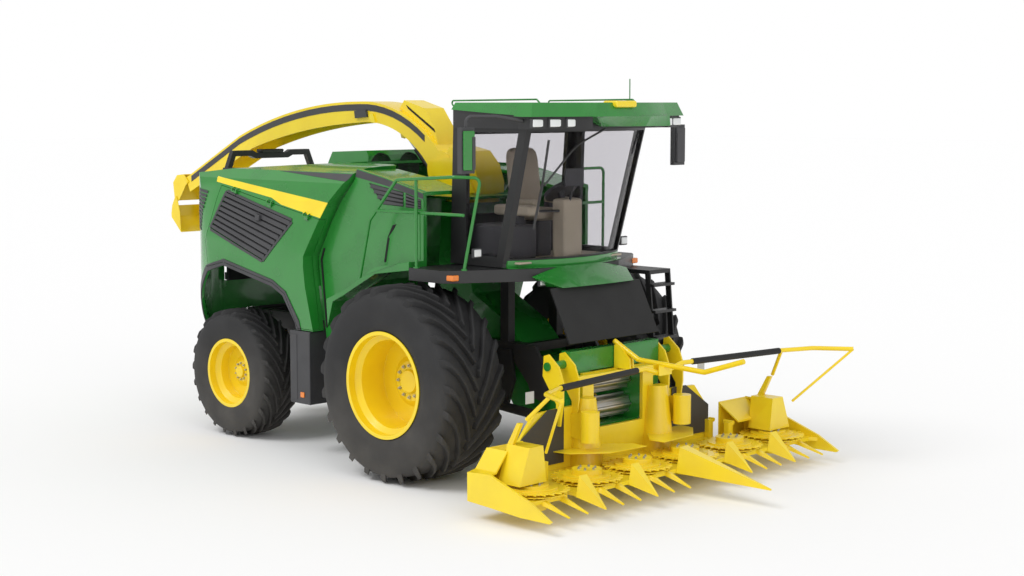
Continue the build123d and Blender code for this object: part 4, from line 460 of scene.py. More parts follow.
def nut(across, height, way):
    """A hexagonal nut on its stud, standing on the origin along a direction."""
    # columns: sides, lower radius, upper radius, height
    solids = [(6, across / 2, across * NUT_TAPER, height),
              (10, across * STUD_FOOT, across * STUD_TIP, height * STUD_RISE)]
    mesh = bmesh.new()
    for sides, low_radius, high_radius, tall in solids:
        bmesh.ops.create_cone(mesh, cap_ends=True, segments=sides, radius1=low_radius,
                              radius2=high_radius, depth=tall, matrix=Matrix.Translation((0, 0, tall / 2)))
    aim = Vector(way).to_track_quat("Z", "Y").to_matrix().to_4x4()
    bmesh.ops.transform(mesh, matrix=aim, verts=mesh.verts)
    return piece_from("nut", mesh)


def moved(piece, shift):
    """Shifts a piece's points, so that the object itself stays at the origin."""
    piece.data.transform(Matrix.Translation(shift))
    return piece


for axle, studs, across, circle, face_out in HUBS:
    for side_name, side in SIDES.items():
        node = f"{axle}_rim_{side_name}"
        dress(node, gloss_yellow, RIM_EDGE)
        low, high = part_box(f"{axle}_tyre_{side_name}")
        seed = moved(nut(across, across / 2, (0, side, 0)), (0, side * face_out, circle))
        ring = copies_of(f"{node}_studs", seed, studs, zinc, (low + high) / 2, turn=(0, tau / studs, 0))
        fit(ring, body_of_node[node], "bare_steel", None)

# Rear body: a pressed green sheet shell with the engine inside, bolted to the rails. A bare yellow
# stripe, dark strips, ribs and wheel arch lips are thin covers cut from the shell's own faces.
gloss_green = finish_of("gloss_green", (0.015, 0.218, 0.024), 0.26, coat=0.5, wear=0.12)
charcoal = finish_of("charcoal_plastic", (0.052, 0.052, 0.056), 0.50, grain=0.002, grain_size=600.0)
# Near-black: painted shade in the hollows behind grilles and louvres, in recesses and in slots; also the dark
# seal's own colour.
shade_and_seal_black = finish_of("shade_and_seal_black", (0.006, 0.006, 0.006), 0.80)
COVER_SINK = 0.003
BODY_INNER = 0.4
OUTWARD = 0.12
# Outlines hold x, z corners in order round each convex part
STRIPE = [[(-3.40, 3.075), (-2.331, 2.955), (-2.331, 2.865), (-3.40, 3.012)],
          [(-2.331, 2.955), (-2.15, 2.935), (-2.15, 2.795), (-2.331, 2.865)],
          [(-2.15, 2.935), (-1.20, 2.83), (-1.20, 2.630), (-2.15, 2.795)]]
SHOULDER = [[(-2.35, 3.166), (-1.00, 3.160), (-1.00, 3.075), (-1.60, 3.115)]]
RIBS, RIB_PITCH, RIB_TOP, RIB_BACK, RIB_DRIFT = 11, 0.044, 2.90, -3.66, 0.16
RIB_REACH_BACK, RIB_REACH_FRONT, RIB_HEIGHT = 0.10, 0.12, 0.030
corner_ribs = []
for rib in range(RIBS):
    top = RIB_TOP - rib * RIB_PITCH
    centre_x = RIB_BACK - RIB_DRIFT * rib / (RIBS - 1)
    back, front = centre_x - RIB_REACH_BACK, centre_x + RIB_REACH_FRONT
    corner_ribs.append([(back, top + RIB_HEIGHT), (front, top), (front, top - RIB_HEIGHT), (back, top)])
# columns: x, z along the wheel arch
ARCH = [(-4.07, 1.19), (-3.90, 1.56), (-3.66, 1.80), (-3.50, 1.96), (-3.18, 2.05), (-2.27, 1.87),
        (-2.09, 1.78), (-1.90, 1.48), (-1.85, 1.20)]
ARCH_LIP = 0.075
ARCH_LIFT = 0.010


def spot(x, y, z):
    """A place given from the front axle's ground point."""
    return front_axle + Vector((x, y, z))


def skin(name, node, outlines, side, lift, slot, finish, inner=BODY_INNER):
    """A thin cover over a node's outer faces inside convex outlines, standing off by a lift."""
    cover = bmesh.new()
    for outline in outlines:
        cut = bmesh.new()
        cut.from_mesh(frame["nodes"][node].data)
        bmesh.ops.remove_doubles(cut, verts=cut.verts, dist=WELD)
        hidden = [face for face in cut.faces
                  if face.normal.y * side < OUTWARD or face.calc_center_median().y * side < inner]
        bmesh.ops.delete(cut, geom=hidden, context="FACES")
        middle = sum((spot(x, 0, z) for x, z in outline), Vector()) / len(outline)
        for first, last in zip(outline, outline[1:] + outline[:1]):
            corner = spot(first[0], 0, first[1])
            way = Vector((last[1] - first[1], 0, first[0] - last[0])).normalized()
            if way.dot(middle - corner) > 0:
                way.negate()
            bmesh.ops.bisect_plane(cut, geom=cut.verts[:] + cut.edges[:] + cut.faces[:],
                                   plane_co=corner, plane_no=way, clear_outer=True)
        pairs = {}
        for vert in cut.verts:
            normal = sum((face.normal * face.calc_area() for face in vert.link_faces), Vector())
            normal.normalize()
            pairs[vert] = (cover.verts.new(vert.co + normal * lift),
                           cover.verts.new(vert.co - normal * COVER_SINK))
        for face in cut.faces:
            cover.faces.new([pairs[vert][0] for vert in face.verts])
            cover.faces.new([pairs[vert][1] for vert in reversed(face.verts)])
        for edge in cut.edges:
            if edge.is_boundary:
                near, far = edge.verts
                cover.faces.new((pairs[near][0], pairs[far][0], pairs[far][1], pairs[near][1]))
        cut.free()
    return fit(piece_from(name, cover), body_of_node[node], slot, finish)


def cover_sides(node, covers, inner=BODY_INNER):
    """Covers on both sides of a node, from rows of piece, lift, slot, finish and outlines."""
    for side_name, side in SIDES.items():
        for piece_name, lift, slot, finish, outlines in covers:
            skin(f"{piece_name}_{side_name}", node, outlines, side, lift, slot, finish, inner)


def widened(route, width):
    """Quadrilaterals between a route and its copy moved outward by a width, one for each leg."""
    outer = []
    for index, place in enumerate(route):
        before, after = Vector(route[max(index - 1, 0)]), Vector(route[min(index + 1, len(route) - 1)])
        along = (after - before).normalized()
        outer.append((place[0] - along.y * width, place[1] + along.x * width))
    return [[route[leg], outer[leg], outer[leg + 1], route[leg + 1]] for leg in range(len(route) - 1)]


dress("hood_shell", gloss_green)
dress("engine_block", gloss_green)
# columns: piece, lift, slot, finish, outlines
BODY_COVERS = [("stripe", 0.0025, "yellow_paint", gloss_yellow, STRIPE),
               ("corner_ribs", 0.008, "grey_plastic", charcoal, corner_ribs),
               ("shoulder_strip", 0.003, "grey_plastic", charcoal, SHOULDER),
               ("arch_lip_hood_shell", ARCH_LIFT, "black_plastic", charcoal, widened(ARCH, ARCH_LIP))]
cover_sides("hood_shell", BODY_COVERS)

# Service doors: green sheet doors hinged on the shell, each with a recessed louvred panel. Its
# moulded dark slats slope between a frame's edges, over a near-black sheet set in behind them: painted
# shade for the dark inside.
DOOR_EDGE = 0.004
BACKING_EDGE = 0.002
BACKING_SINK = 0.022
SLATS = 8
SLAT_EDGE = 0.002
LOUVRE_EDGE = 0.028
LOUVRE_LIFT = 0.008
# columns: x, z of the louvred panel's upper left, lower left, upper right, lower right corners
LOUVRE_PANEL = [(-3.17, 2.90), (-3.44, 2.468), (-1.947, 2.62), (-2.445, 2.156)]
# columns: outward, share of the slat's pitch upward
SLAT_SECTION = [(-0.022, 0.40), (0.002, 0.30), (0.012, -0.22), (0.006, -0.34), (-0.022, 0.05)]
LATCH = [(-2.58, 2.60), (-2.50, 2.60), (-2.49, 2.66), (-2.57, 2.68)]
LATCH_EDGE = 0.010
WALL_Y, WALL_Z, WALL_LEAN = 1.50, 2.3, 0.091
TUCK, TUCK_LOW_Z, TUCK_RISE = 0.01, 1.9, 0.4
CORNER_X, CORNER_Y, CORNER_RADIUS = -3.34, 0.64, 0.86


def body_y(x, z):
    """How far out the rear body's wall stands, on its flat sides and its rounded rear corners."""
    tuck = TUCK * min(1.0, max(0.0, (z - TUCK_LOW_Z) / TUCK_RISE))
    wall = WALL_Y - WALL_LEAN * max(0.0, z - WALL_Z) - tuck
    behind = min(max(0.0, CORNER_X - x), CORNER_RADIUS)
    return min(wall, CORNER_Y + (CORNER_RADIUS ** 2 - behind ** 2) ** 0.5)


def louvres(name, corners, count, face_y, side, body, stations):
    """Sloping slats from a left edge to a right one, each with its lower lip standing out."""
    left_top, left_low, right_top, right_low = (Vector(corner) for corner in corners)
    left_pitch = (left_top - left_low).length / count
    right_pitch = (right_top - right_low).length / count
    mesh = bmesh.new()
    for slat in range(count):
        share = (slat + 0.5) / count
        left, right = left_top.lerp(left_low, share), right_top.lerp(right_low, share)
        rows = []
        for station in range(stations + 1):
            along = station / stations
            place = left.lerp(right, along)
            pitch = left_pitch + (right_pitch - left_pitch) * along
            face = face_y(place.x, place.y)
            rows.append([mesh.verts.new(spot(place.x, side * (face + out), place.y + up * pitch))
                         for out, up in SLAT_SECTION])
        close_run(mesh, rows)
    return fit(round_edges(piece_from(name, mesh), SLAT_EDGE, 1), body, "grey_plastic", charcoal)


def prism(name, outline, axis, low, high, edge=0.0):
    """A straight piece across one axis, with its outline in the other two, in x, y, z order."""
    order = {"x": (2, 0, 1), "y": (0, 2, 1), "z": (0, 1, 2)}[axis]
    mesh = bmesh.new()
    rows = []
    for level in (low, high):
        places = [(first, last, level) for first, last in outline]
        rows.append([mesh.verts.new(spot(*(place[index] for index in order))) for place in places])
    close_run(mesh, rows)
    piece = piece_from(name, mesh)
    return round_edges(piece, edge) if edge else piece


left_top, left_low, right_top, right_low = LOUVRE_PANEL
frame_route = [left_low, left_top, right_top, right_low, left_low]
frame_legs = [leg for pair in zip(frame_route, frame_route[1:]) for leg in widened(pair, LOUVRE_EDGE)]
for side_name, side in SIDES.items():
    door = f"service_door_{side_name}"
    dress(door, gloss_green, DOOR_EDGE)
    skin(f"arch_lip_{door}_{side_name}", door, widened(ARCH, ARCH_LIP), side, ARCH_LIFT,
         "black_plastic", charcoal)
    # The grille's copy, sunk inward in near-black, is painted shade standing for the dark behind the slats.
    shade_sheet = softened(f"side_grille_{side_name}", BACKING_EDGE, 1)
    moved(shade_sheet, (0, -side * BACKING_SINK, 0))
    fit(shade_sheet, door, "grey_plastic", shade_and_seal_black, f"side_grille_{side_name}")
    louvres(f"louvres_{side_name}", LOUVRE_PANEL, SLATS, body_y, side, door, 8)
    skin(f"louvre_frame_{side_name}", door, frame_legs, side, LOUVRE_LIFT, "grey_plastic", charcoal)
    latch = prism(f"door_latch_{side_name}", LATCH, "y", *sorted((side * 1.46, side * 1.50)), LATCH_EDGE)
    fit(latch, door, "grey_plastic", charcoal)

# Flanks: green sheet panels between the body and the cab, bolted on. Each has a raised panel, a
# grab slot, a seal down its rear edge, a dark shoulder strip and two louvred vents below it. The grab
# slot and the vents' recesses are flat near-black covers: painted shade where the hollows would be.
FLANK_Y = 1.290
VENT_SLATS = 4
FLANK_STRIP = [[(-1.03, 3.215), (-0.58, 3.130), (-0.58, 3.060), (-1.05, 3.135)],
               [(-0.58, 3.130), (0.02, 2.990), (0.02, 2.935), (-0.58, 3.060)]]
FLANK_PANEL = [[(-0.93, 2.36), (-0.56, 2.80), (-0.03, 2.80), (-0.03, 2.30), (-0.70, 2.10)]]
# The grab slot's covers are near-black: painted shade in the hollow of the slot.
GRAB_SLOT = [[(-0.37, 2.66), (-0.45, 2.64), (-0.53, 2.51), (-0.50, 2.50), (-0.43, 2.60)],
             [(-0.50, 2.50), (-0.53, 2.51), (-0.59, 2.24), (-0.56, 2.24)]]
FLANK_SEAL = [[(-1.60, 2.33), (-1.575, 2.33), (-1.625, 2.20), (-1.65, 2.20)],
              [(-1.65, 2.20), (-1.625, 2.20), (-1.545, 1.45), (-1.570, 1.45)]]
# columns: piece, lift, slot, finish, outlines
FLANK_COVERS = [("flank_strip", 0.003, "grey_plastic", charcoal, FLANK_STRIP),
                ("flank_panel", 0.006, "green_paint", gloss_green, FLANK_PANEL),
                ("grab_slot", 0.009, "black_rubber", shade_and_seal_black, GRAB_SLOT),
                ("flank_seal", 0.008, "black_rubber", shade_and_seal_black, FLANK_SEAL)]
# columns: vent, then x, z of its upper left, lower left, upper right, lower right corners
VENTS = [("rear", [(-0.83, 3.075), (-0.61, 2.855), (-0.285, 2.995), (-0.285, 2.842)]),
         ("front", [(-0.245, 2.985), (-0.245, 2.838), (-0.012, 2.925), (-0.012, 2.830)])]
VENT_LIFT = 0.003
dress("flanks", gloss_green)
cover_sides("flanks", FLANK_COVERS)
for side_name, side in SIDES.items():
    for vent, corners in VENTS:
        upper_left, lower_left, upper_right, lower_right = corners
        # Under each vent's slats, a flat near-black cover: painted shade for the recess.
        recess = [[upper_left, upper_right, lower_right, lower_left]]
        skin(f"vent_shade_{vent}_{side_name}", "flanks", recess, side, VENT_LIFT, "grey_plastic",
             shade_and_seal_black)
        louvres(f"vent_{vent}_{side_name}", corners, VENT_SLATS, lambda x, z: FLANK_Y, side, "machine", 2)

# Rear grille: a moulded dark grille over the radiator, with a mesh of upright wires behind its bars.
# The wires are one seed mesh copied across by Geometry Nodes, before a near-black sheet that is
# painted shade for the dark behind the grille.
GRILLE_EDGE = 0.004
GRILLE_BACK_X = -4.075
GRILLE_BACK_WALL = 0.005
GRILLE_HOLE = [(-0.755, 1.755), (0.755, 1.755), (0.755, 2.895), (-0.755, 2.895)]
WIRES, WIRE_RADIUS, WIRE_HEIGHT, WIRE_SPREAD = 48, 0.002, 1.13, 1.48
WIRE_START = spot(-4.10, -WIRE_SPREAD / 2, 2.325)
dress("rear_grille", charcoal, GRILLE_EDGE)
# A near-black sheet across the grille's opening: painted shade behind the wires.
shade_sheet = prism("grille_shade_sheet", GRILLE_HOLE, "x", GRILLE_BACK_X, GRILLE_BACK_X + GRILLE_BACK_WALL)
fit(shade_sheet, "machine", "grey_plastic", shade_and_seal_black)
wire_mesh = bmesh.new()
bmesh.ops.create_cone(wire_mesh, cap_ends=True, segments=6, radius1=WIRE_RADIUS, radius2=WIRE_RADIUS,
                      depth=WIRE_HEIGHT)
wires = copies_of("grille_wires", piece_from("wire", wire_mesh), WIRES, charcoal, WIRE_START,
                  step=(0, WIRE_SPREAD / (WIRES - 1), 0))
fit(wires, "machine", "grey_plastic", None)

# Deck and intake housing: green sheet with two round air mouths, each behind a guard of black
# wire rings, one inside the other.
GUARD_RINGS, GUARD_RADIUS, GUARD_PITCH, GUARD_SEGMENTS = 9, 0.160, 0.018, 40
GUARD_HALF_DEPTH, GUARD_HALF_WIRE = 0.004, 0.003
MOUTH_X, MOUTH_Y, MOUTH_Z = -1.852, 0.22, 3.19
dress("deck_housing", gloss_green)
for side_name, side in SIDES.items():
    mesh = bmesh.new()
    for step in range(GUARD_RINGS):
        radius = GUARD_RADIUS - GUARD_PITCH * step
        inner, outer = radius - GUARD_HALF_WIRE, radius + GUARD_HALF_WIRE
        ring = turned("ring", [(-GUARD_HALF_DEPTH, inner), (GUARD_HALF_DEPTH, inner),
                               (GUARD_HALF_DEPTH, outer), (-GUARD_HALF_DEPTH, outer)],
                      (0, 0, 0), GUARD_SEGMENTS)
        ring.data.transform(Matrix.Rotation(pi / 2, 4, "Z"))
        mesh.from_mesh(ring.data)
        bpy.data.objects.remove(ring)
    guard = moved(piece_from(f"mouth_guard_{side_name}", mesh), spot(MOUTH_X, side * MOUTH_Y, MOUTH_Z))
    fit(guard, "machine", "grey_plastic", satin_black)

# Low side boxes: folded dark boxes under the body between the wheels, bolted to the rails. Each
# has an amber reflector and a bare cover panel on its outer face.
BOX_EDGE = 0.012
amber = finish_of("amber_lens", (0.90, 0.24, 0.02), 0.18, coat=0.6, grain=0.001, grain_size=300.0)
# columns: piece, low corner and high corner on the left side, edge, finish
BOX_FITTINGS = [("box_reflector", (-1.80, 1.478, 0.655), (-1.735, 1.490, 0.715), 0.004, amber),
                ("box_panel", (-1.96, 1.476, 0.62), (-1.86, 1.486, 1.36), 0.006, charcoal)]


def slab(name, low, high, edge, slot, finish, body="machine"):
    """A block with rounded edges between two corners."""
    outline = [(low[0], low[2]), (high[0], low[2]), (high[0], high[2]), (low[0], high[2])]
    return fit(prism(name, outline, "y", low[1], high[1], edge), body, slot, finish)


def side_slab(name, side_name, low, high, edge, slot, finish, body="machine"):
    """A slab given by its corners on the left side, on either side."""
    near, far = sorted((SIDES[side_name] * low[1], SIDES[side_name] * high[1]))
    return slab(f"{name}_{side_name}", (low[0], near, low[2]), (high[0], far, high[2]), edge, slot,
                finish, body)


dress("side_boxes", charcoal, BOX_EDGE)
for side_name in SIDES:
    for piece_name, low, high, edge, finish in BOX_FITTINGS:
        side_slab(piece_name, side_name, low, high, edge, "black_plastic", finish)

# Cab: a welded black frame with tinted panes glued in, under a green moulded roof with lamps in
# its front and a yellow receiver on top. A green sill follows the curved windscreen's foot.
CAB_EDGE, ROOF_EDGE, ROOF_SHARPEST, MOULD_SEGMENTS = 0.008, 0.012, 40, 3
PANE_TINT = (0.76, 0.75, 0.77, 1)
glass = bpy.data.materials.new("tinted_glass")
glass.use_nodes = True
pane = glass.node_tree.nodes["Principled BSDF"]
for socket, value in (("Base Color", PANE_TINT), ("Transmission Weight", 1.0), ("Roughness", 0.02),
                      ("IOR", 1.1)):
    pane.inputs[socket].default_value = value
for node in ("cab_glass", "cab_door_glass"):
    frame["nodes"][node].data.materials.clear()
    frame["nodes"][node].data.materials.append(glass)
lens = finish_of("lamp_lens", (0.80, 0.82, 0.82), 0.12, coat=0.8, grain=0.001, grain_size=200.0)
# columns: x of the face, y, z, half width, half height of the roof's lamps
ROOF_LAMPS = [(1.462, 1.082, 3.732, 0.085, 0.050), (1.508, 0.870, 3.732, 0.095, 0.050),
              (1.558, 0.692, 3.732, 0.070, 0.050), (1.460, 0.348, 3.732, 0.085, 0.045)]
LAMP_EDGE = 0.010
BEZEL_WIDTH = 0.012
BEZEL_BACK, BEZEL_FACE, LENS_BACK, LENS_FACE = 0.03, 0.004, 0.01, 0.014
SILL_FOOT_X, SILL_FOOT_Z, SILL_LEAN, SILL_RADIUS = 1.05, 2.281, 0.2654, 1.727
SILL_HALF_WIDTH, SILL_STATIONS, SILL_EDGE = 0.865, 24, 0.003
# columns: out from the pane, z
SILL_SECTION = [(-0.010, 2.238), (0.016, 2.238), (0.018, 2.290), (0.010, 2.312), (-0.010, 2.312)]


def lamp_unit(name, x, y, z, half_width, half_height):
    """A lamp facing forward: a dark bezel round a lens that stands out of it."""
    low_y, high_y = y - half_width, y + half_width
    low_z, high_z = z - half_height, z + half_height
    slab(f"{name}_bezel", (x - BEZEL_BACK, low_y, low_z), (x + BEZEL_FACE, high_y, high_z), LAMP_EDGE,
         "black_plastic", charcoal)
    slab(f"{name}_lens", (x - LENS_BACK, low_y + BEZEL_WIDTH, low_z + BEZEL_WIDTH),
         (x + LENS_FACE, high_y - BEZEL_WIDTH, high_z - BEZEL_WIDTH), LAMP_EDGE, "black_plastic", lens)


dress("cab_shell", satin_black, CAB_EDGE)
dress("cab_door", satin_black)
dress("cab_roof", gloss_green, ROOF_EDGE, MOULD_SEGMENTS, ROOF_SHARPEST)
for side_name, side in SIDES.items():
    for number, (x, y, z, half_width, half_height) in enumerate(ROOF_LAMPS):
        lamp_unit(f"roof_lamp_{side_name}_{number}", x, side * y, z, half_width, half_height)
slab("receiver", (1.50, -0.16, 3.885), (1.70, 0.16, 3.955), 0.022, "yellow_paint", gloss_yellow)
mesh = bmesh.new()
rows = []
for station in range(SILL_STATIONS + 1):
    across = SILL_HALF_WIDTH * (2 * station / SILL_STATIONS - 1)
    bow = SILL_RADIUS - (SILL_RADIUS ** 2 - across ** 2) ** 0.5
    rows.append([mesh.verts.new(spot(SILL_FOOT_X + (z - SILL_FOOT_Z) * SILL_LEAN - bow + out, across, z))
                 for out, z in SILL_SECTION])
close_run(mesh, rows)
fit(round_edges(piece_from("windscreen_sill", mesh), SILL_EDGE), "machine", "green_paint", gloss_green)

# Wipers and mirrors: a steel arm with a rubber blade on the windscreen, and two mirrors on arms
# from the roof. The right mirror is faced green, the left one black, each with a dark strip.
BAR_BEND = 0.10
BEND_LIMIT = 0.45
BEND_STEPS = 6
BAR_ROUNDNESS = 5
MIRROR_EDGE = 0.012


def wand(name, points, radius, body, slot, finish):
    """A stiff round bar through the given places, bent smoothly at each inner one."""
    line = bpy.data.curves.new(name, "CURVE")
    line.dimensions = "3D"
    run = line.splines.new("POLY")
    places = [spot(*points[0])]
    for before, corner, after in zip(points, points[1:], points[2:]):
        first, middle, last = spot(*before), spot(*corner), spot(*after)
        bend = min(BAR_BEND, (middle - first).length * BEND_LIMIT, (last - middle).length * BEND_LIMIT)
        near = middle + (first - middle).normalized() * bend
        far = middle + (last - middle).normalized() * bend
        for step in range(BEND_STEPS + 1):
            share = step / BEND_STEPS
            places.append(near.lerp(middle, share).lerp(middle.lerp(far, share), share))
    places.append(spot(*points[-1]))
    run.points.add(len(places) - 1)
    for point, place in zip(run.points, places):
        point.co = (*place, 1)
    line.bevel_depth = radius
    line.bevel_resolution = BAR_ROUNDNESS
    line.use_fill_caps = True
    holder = placed(name, line)
    data = made_mesh(holder)
    bpy.data.objects.remove(holder)
    piece = placed(name, data)
    shade_smooth(piece)
    return fit(piece, body, slot, finish)


wand("wiper_arm", [(1.42, -0.02, 3.665), (1.36, -0.40, 3.50), (1.27, -0.78, 3.10)], 0.011, "machine",
     "black_plastic", satin_black)
wand("wiper_blade", [(1.365, -0.815, 3.56), (1.29, -0.82, 3.15), (1.165, -0.825, 2.66)], 0.013, "machine",
     "black_rubber", satin_black)
dress("mirrors", charcoal, MIRROR_EDGE, MOULD_SEGMENTS)
# columns: side, slot, finish of the mirror's face
MIRROR_FACES = [("left", "black_plastic", charcoal), ("right", "green_paint", gloss_green)]
for side_name, slot, finish in MIRROR_FACES:
    side_slab("mirror_cap", side_name, (1.055, 1.575, 3.27), (1.085, 1.725, 3.66), 0.014, slot, finish)
    side_slab("mirror_strip", side_name, (1.078, 1.575, 3.275), (1.092, 1.618, 3.60), 0.005,
              "black_plastic", charcoal)

# Driver's place: two crowned cloth cushions on a moulded pedestal with armrests, a console, a
# monitor on its arm, and a mat, all fixed to the cab's floor.
beige = finish_of("beige_plastic", (0.46, 0.40, 0.30), 0.62, grain=0.002, grain_size=700.0)
seat_cloth = finish_of("seat_cloth", (0.50, 0.43, 0.33), 0.88, grain=0.004, grain_size=700.0)
SEAT_CROWN, CROWN_REST = 0.5, 0.8
CUSHION_CUTS = 7
CORNER_POWER = 5
PULL_IN = 0.035
# columns: piece, low corner, high corner, lean back for each metre up
CUSHIONS = [("seat_cushion", (0.20, -0.25, 2.675), (0.70, 0.25, 2.815), 0.0),
            ("seat_back", (0.165, -0.23, 2.80), (0.295, 0.23, 3.46), -0.13)]
# columns: piece, low corner, high corner, edge, slot, finish
FLOOR_FITTINGS = [("front_console", (0.80, -0.17, 2.29), (0.99, 0.12, 2.93), 0.035, "grey_plastic", beige),
                  ("seat_box", (0.16, -0.78, 2.29), (0.72, -0.30, 2.66), 0.030, "grey_plastic", charcoal),
                  ("arm_console", (0.28, -0.52, 2.75), (0.80, -0.34, 2.86), 0.030, "grey_plastic", beige),
                  ("console_leg", (0.46, -0.50, 2.29), (0.62, -0.38, 2.76), 0.020, "grey_plastic", charcoal),
                  ("monitor", (0.985, -0.18, 3.06), (1.015, 0.11, 3.25), 0.012, "black_plastic", charcoal),
                  ("cab_mat", (0.12, -0.80, 2.275), (0.95, 0.80, 2.296), 0.006, "grey_plastic", beige)]
# columns: piece, low corner and high corner on the left side, edge, finish
ARMRESTS = [("armrest", (0.28, 0.258, 2.845), (0.70, 0.335, 2.918), 0.025, beige),
            ("armrest_post", (0.28, 0.258, 2.70), (0.36, 0.335, 2.86), 0.020, charcoal)]


def cushion(name, low, high, lean):
    """A crowned pad whose sides pull in between its corners, leaning back if asked."""
    middle, half = (Vector(low) + Vector(high)) / 2, (Vector(high) - Vector(low)) / 2
    thin = min(range(3), key=lambda axis: half[axis])
    wide = [axis for axis in range(3) if axis != thin]
    mesh = bmesh.new()
    bmesh.ops.create_cube(mesh, size=2.0)
    bmesh.ops.subdivide_edges(mesh, edges=mesh.edges, cuts=CUSHION_CUTS, use_grid_fill=True)
    for vert in mesh.verts:
        place = vert.co.copy()
        place *= sum(abs(value) ** CORNER_POWER for value in place) ** (-1 / CORNER_POWER)
        fullness = (1 - place[wide[0]] ** 2) * (1 - place[wide[1]] ** 2)
        place[thin] *= (1 + SEAT_CROWN * fullness) / (1 + SEAT_CROWN * CROWN_REST)
        for axis, other in (wide, wide[::-1]):
            place[axis] *= 1 - PULL_IN * (1 - place[other] ** 2)
        spread = Vector(value * size for value, size in zip(place, half))
        vert.co = spot(*(middle + spread))
        vert.co.x += lean * spread.z
    piece = piece_from(name, mesh)
    smooth = piece.modifiers.new("smooth", "SUBSURF")
    smooth.levels = smooth.render_levels = 1
    made = made_mesh(piece)
    piece.modifiers.clear()
    piece.data = made
    shade_smooth(piece)
    fit(piece, "machine", "seat_fabric", seat_cloth)


for piece_name, low, high, lean in CUSHIONS:
    cushion(piece_name, low, high, lean)
pedestal = slab("seat_pedestal", (0.35, -0.11, 2.283), (0.55, 0.11, 2.69), 0.030, "black_plastic", charcoal)
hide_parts("driver_seat")
for piece_name, low, high, edge, slot, finish in FLOOR_FITTINGS:
    slab(piece_name, low, high, edge, slot, finish)
for side_name in SIDES:
    for piece_name, low, high, edge, finish in ARMRESTS:
        side_slab(piece_name, side_name, low, high, edge, "black_plastic", finish)
wand("monitor_arm", [(0.99, -0.03, 3.08), (0.96, -0.10, 2.80), (0.70, -0.42, 2.80)], 0.014, "machine",
     "black_plastic", satin_black)
dress("steering_column", charcoal)

# Platform: a black plate platform round the cab with green tube railings, bolted to the rails.
# Amber indicators and white lamps sit at its corners, and two work lamps above it.
# columns: lamp, x of the face, y on the left side, z, half width, half height
PLATFORM_LAMPS = [("front_lamp", 1.10, 0.616, 2.094, 0.055, 0.045),
                  ("work_lamp", 0.68, 1.15, 2.40, 0.060, 0.050)]
dress("platform", satin_black)
dress("railings", gloss_green)
for side_name, side in SIDES.items():
    side_slab("side_indicator", side_name, (0.53, 1.36, 2.125), (0.63, 1.46, 2.185), 0.012,
              "black_plastic", amber)
    for lamp_name, x, y, z, half_width, half_height in PLATFORM_LAMPS:
        lamp_unit(f"{lamp_name}_{side_name}", x, side * y, z, half_width, half_height)

# Front panel and apron: a plain green moulded panel, and a black rubber sheet hung from it to the
# intake. The sheet is cut into rows.
sheet_rubber = finish_of("sheet_rubber", (0.007, 0.007, 0.007), 0.60)
APRON_ROWS = 10
APRON_EDGE = 0.002
PANEL_EDGE = 0.012
dress("front_panel", gloss_green, PANEL_EDGE)
low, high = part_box("apron")
apron = softened("apron", APRON_EDGE)
cut = bmesh.new()
cut.from_mesh(apron.data)
for row in range(1, APRON_ROWS):
    bmesh.ops.bisect_plane(cut, geom=cut.verts[:] + cut.edges[:] + cut.faces[:],
                           plane_co=(0, 0, low.z + (high.z - low.z) * row / APRON_ROWS), plane_no=(0, 0, 1))
cut.to_mesh(apron.data)
cut.free()
apron.data.materials.clear()
apron.data.materials.append(sheet_rubber)
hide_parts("apron")
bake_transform(apron)

# Intake: a green welded housing with two ribbed steel feed rolls in its mouth, lifted by two
# cylinders with black barrels and polished rods.
dress("intake", gloss_green)
dress("feed_roll_lower", worn_steel)
dress("feed_roll_upper", worn_steel)
dress("lift_cylinder_barrels", satin_black)
dress("lift_cylinder_rods", worn_steel)

# Header: a yellow pressed frame hung on the intake, with black wear sheets on its rear wall, bare
# label plates, guide plates over the inner rotors, and push bars in rubber sleeves.
bare_sheet = finish_of("wear_sheet", (0.030, 0.030, 0.031), 0.50, dust=0.2, grain=0.002, grain_size=500.0)
SHEET_X = 1.62
SHEET_WALL = 0.008
SHEET_EDGE = 0.002
LABEL_WALL = 0.006
# columns: y, z on the left side
WEAR_SHEET = [(0.86, 0.32), (1.50, 0.32), (1.50, 0.62), (1.10, 0.88), (0.86, 0.88)]
# columns: x, y on the left side
GUIDE_PLATE = [(1.682, 0.384), (1.918, 0.135), (2.110, 0.140), (2.075, 0.667), (1.813, 0.990), (1.600, 1.020)]
GUIDE_LOW_Z, GUIDE_HIGH_Z = 0.444, 0.452
SLEEVE_RADIUS = 0.033
SLEEVES = {"left": [(2.228, 0.440, 1.2725), (2.392, 1.734, 1.268)],
           "right": [(2.226, -0.446, 1.272), (2.392, -1.734, 1.268)]}
dress("header_frame", gloss_yellow)
for side_name, side in SIDES.items():
    dress(f"header_wing_{side_name}", gloss_yellow)
    dress(f"push_bar_{side_name}", gloss_yellow)
    sheet = prism(f"wear_sheet_{side_name}", [(side * y, z) for y, z in WEAR_SHEET], "x",
                  SHEET_X - SHEET_WALL / 2, SHEET_X + SHEET_WALL / 2, SHEET_EDGE)
    fit(sheet, "intake", "black_paint", bare_sheet)
    side_slab("header_plate", side_name, (SHEET_X, 1.30, 0.98), (SHEET_X + LABEL_WALL, 1.42, 1.10),
              SHEET_EDGE, "bare_steel", zinc, "intake")
    plate = prism(f"guide_plate_{side_name}", [(x, side * y) for x, y in GUIDE_PLATE], "z",
                  GUIDE_LOW_Z, GUIDE_HIGH_Z, SHEET_EDGE)
    fit(plate, "intake", "yellow_paint", gloss_yellow)
    wand(f"bar_sleeve_{side_name}", SLEEVES[side_name], SLEEVE_RADIUS,
         body_of_node[f"push_bar_{side_name}"], "black_rubber", sheet_rubber)

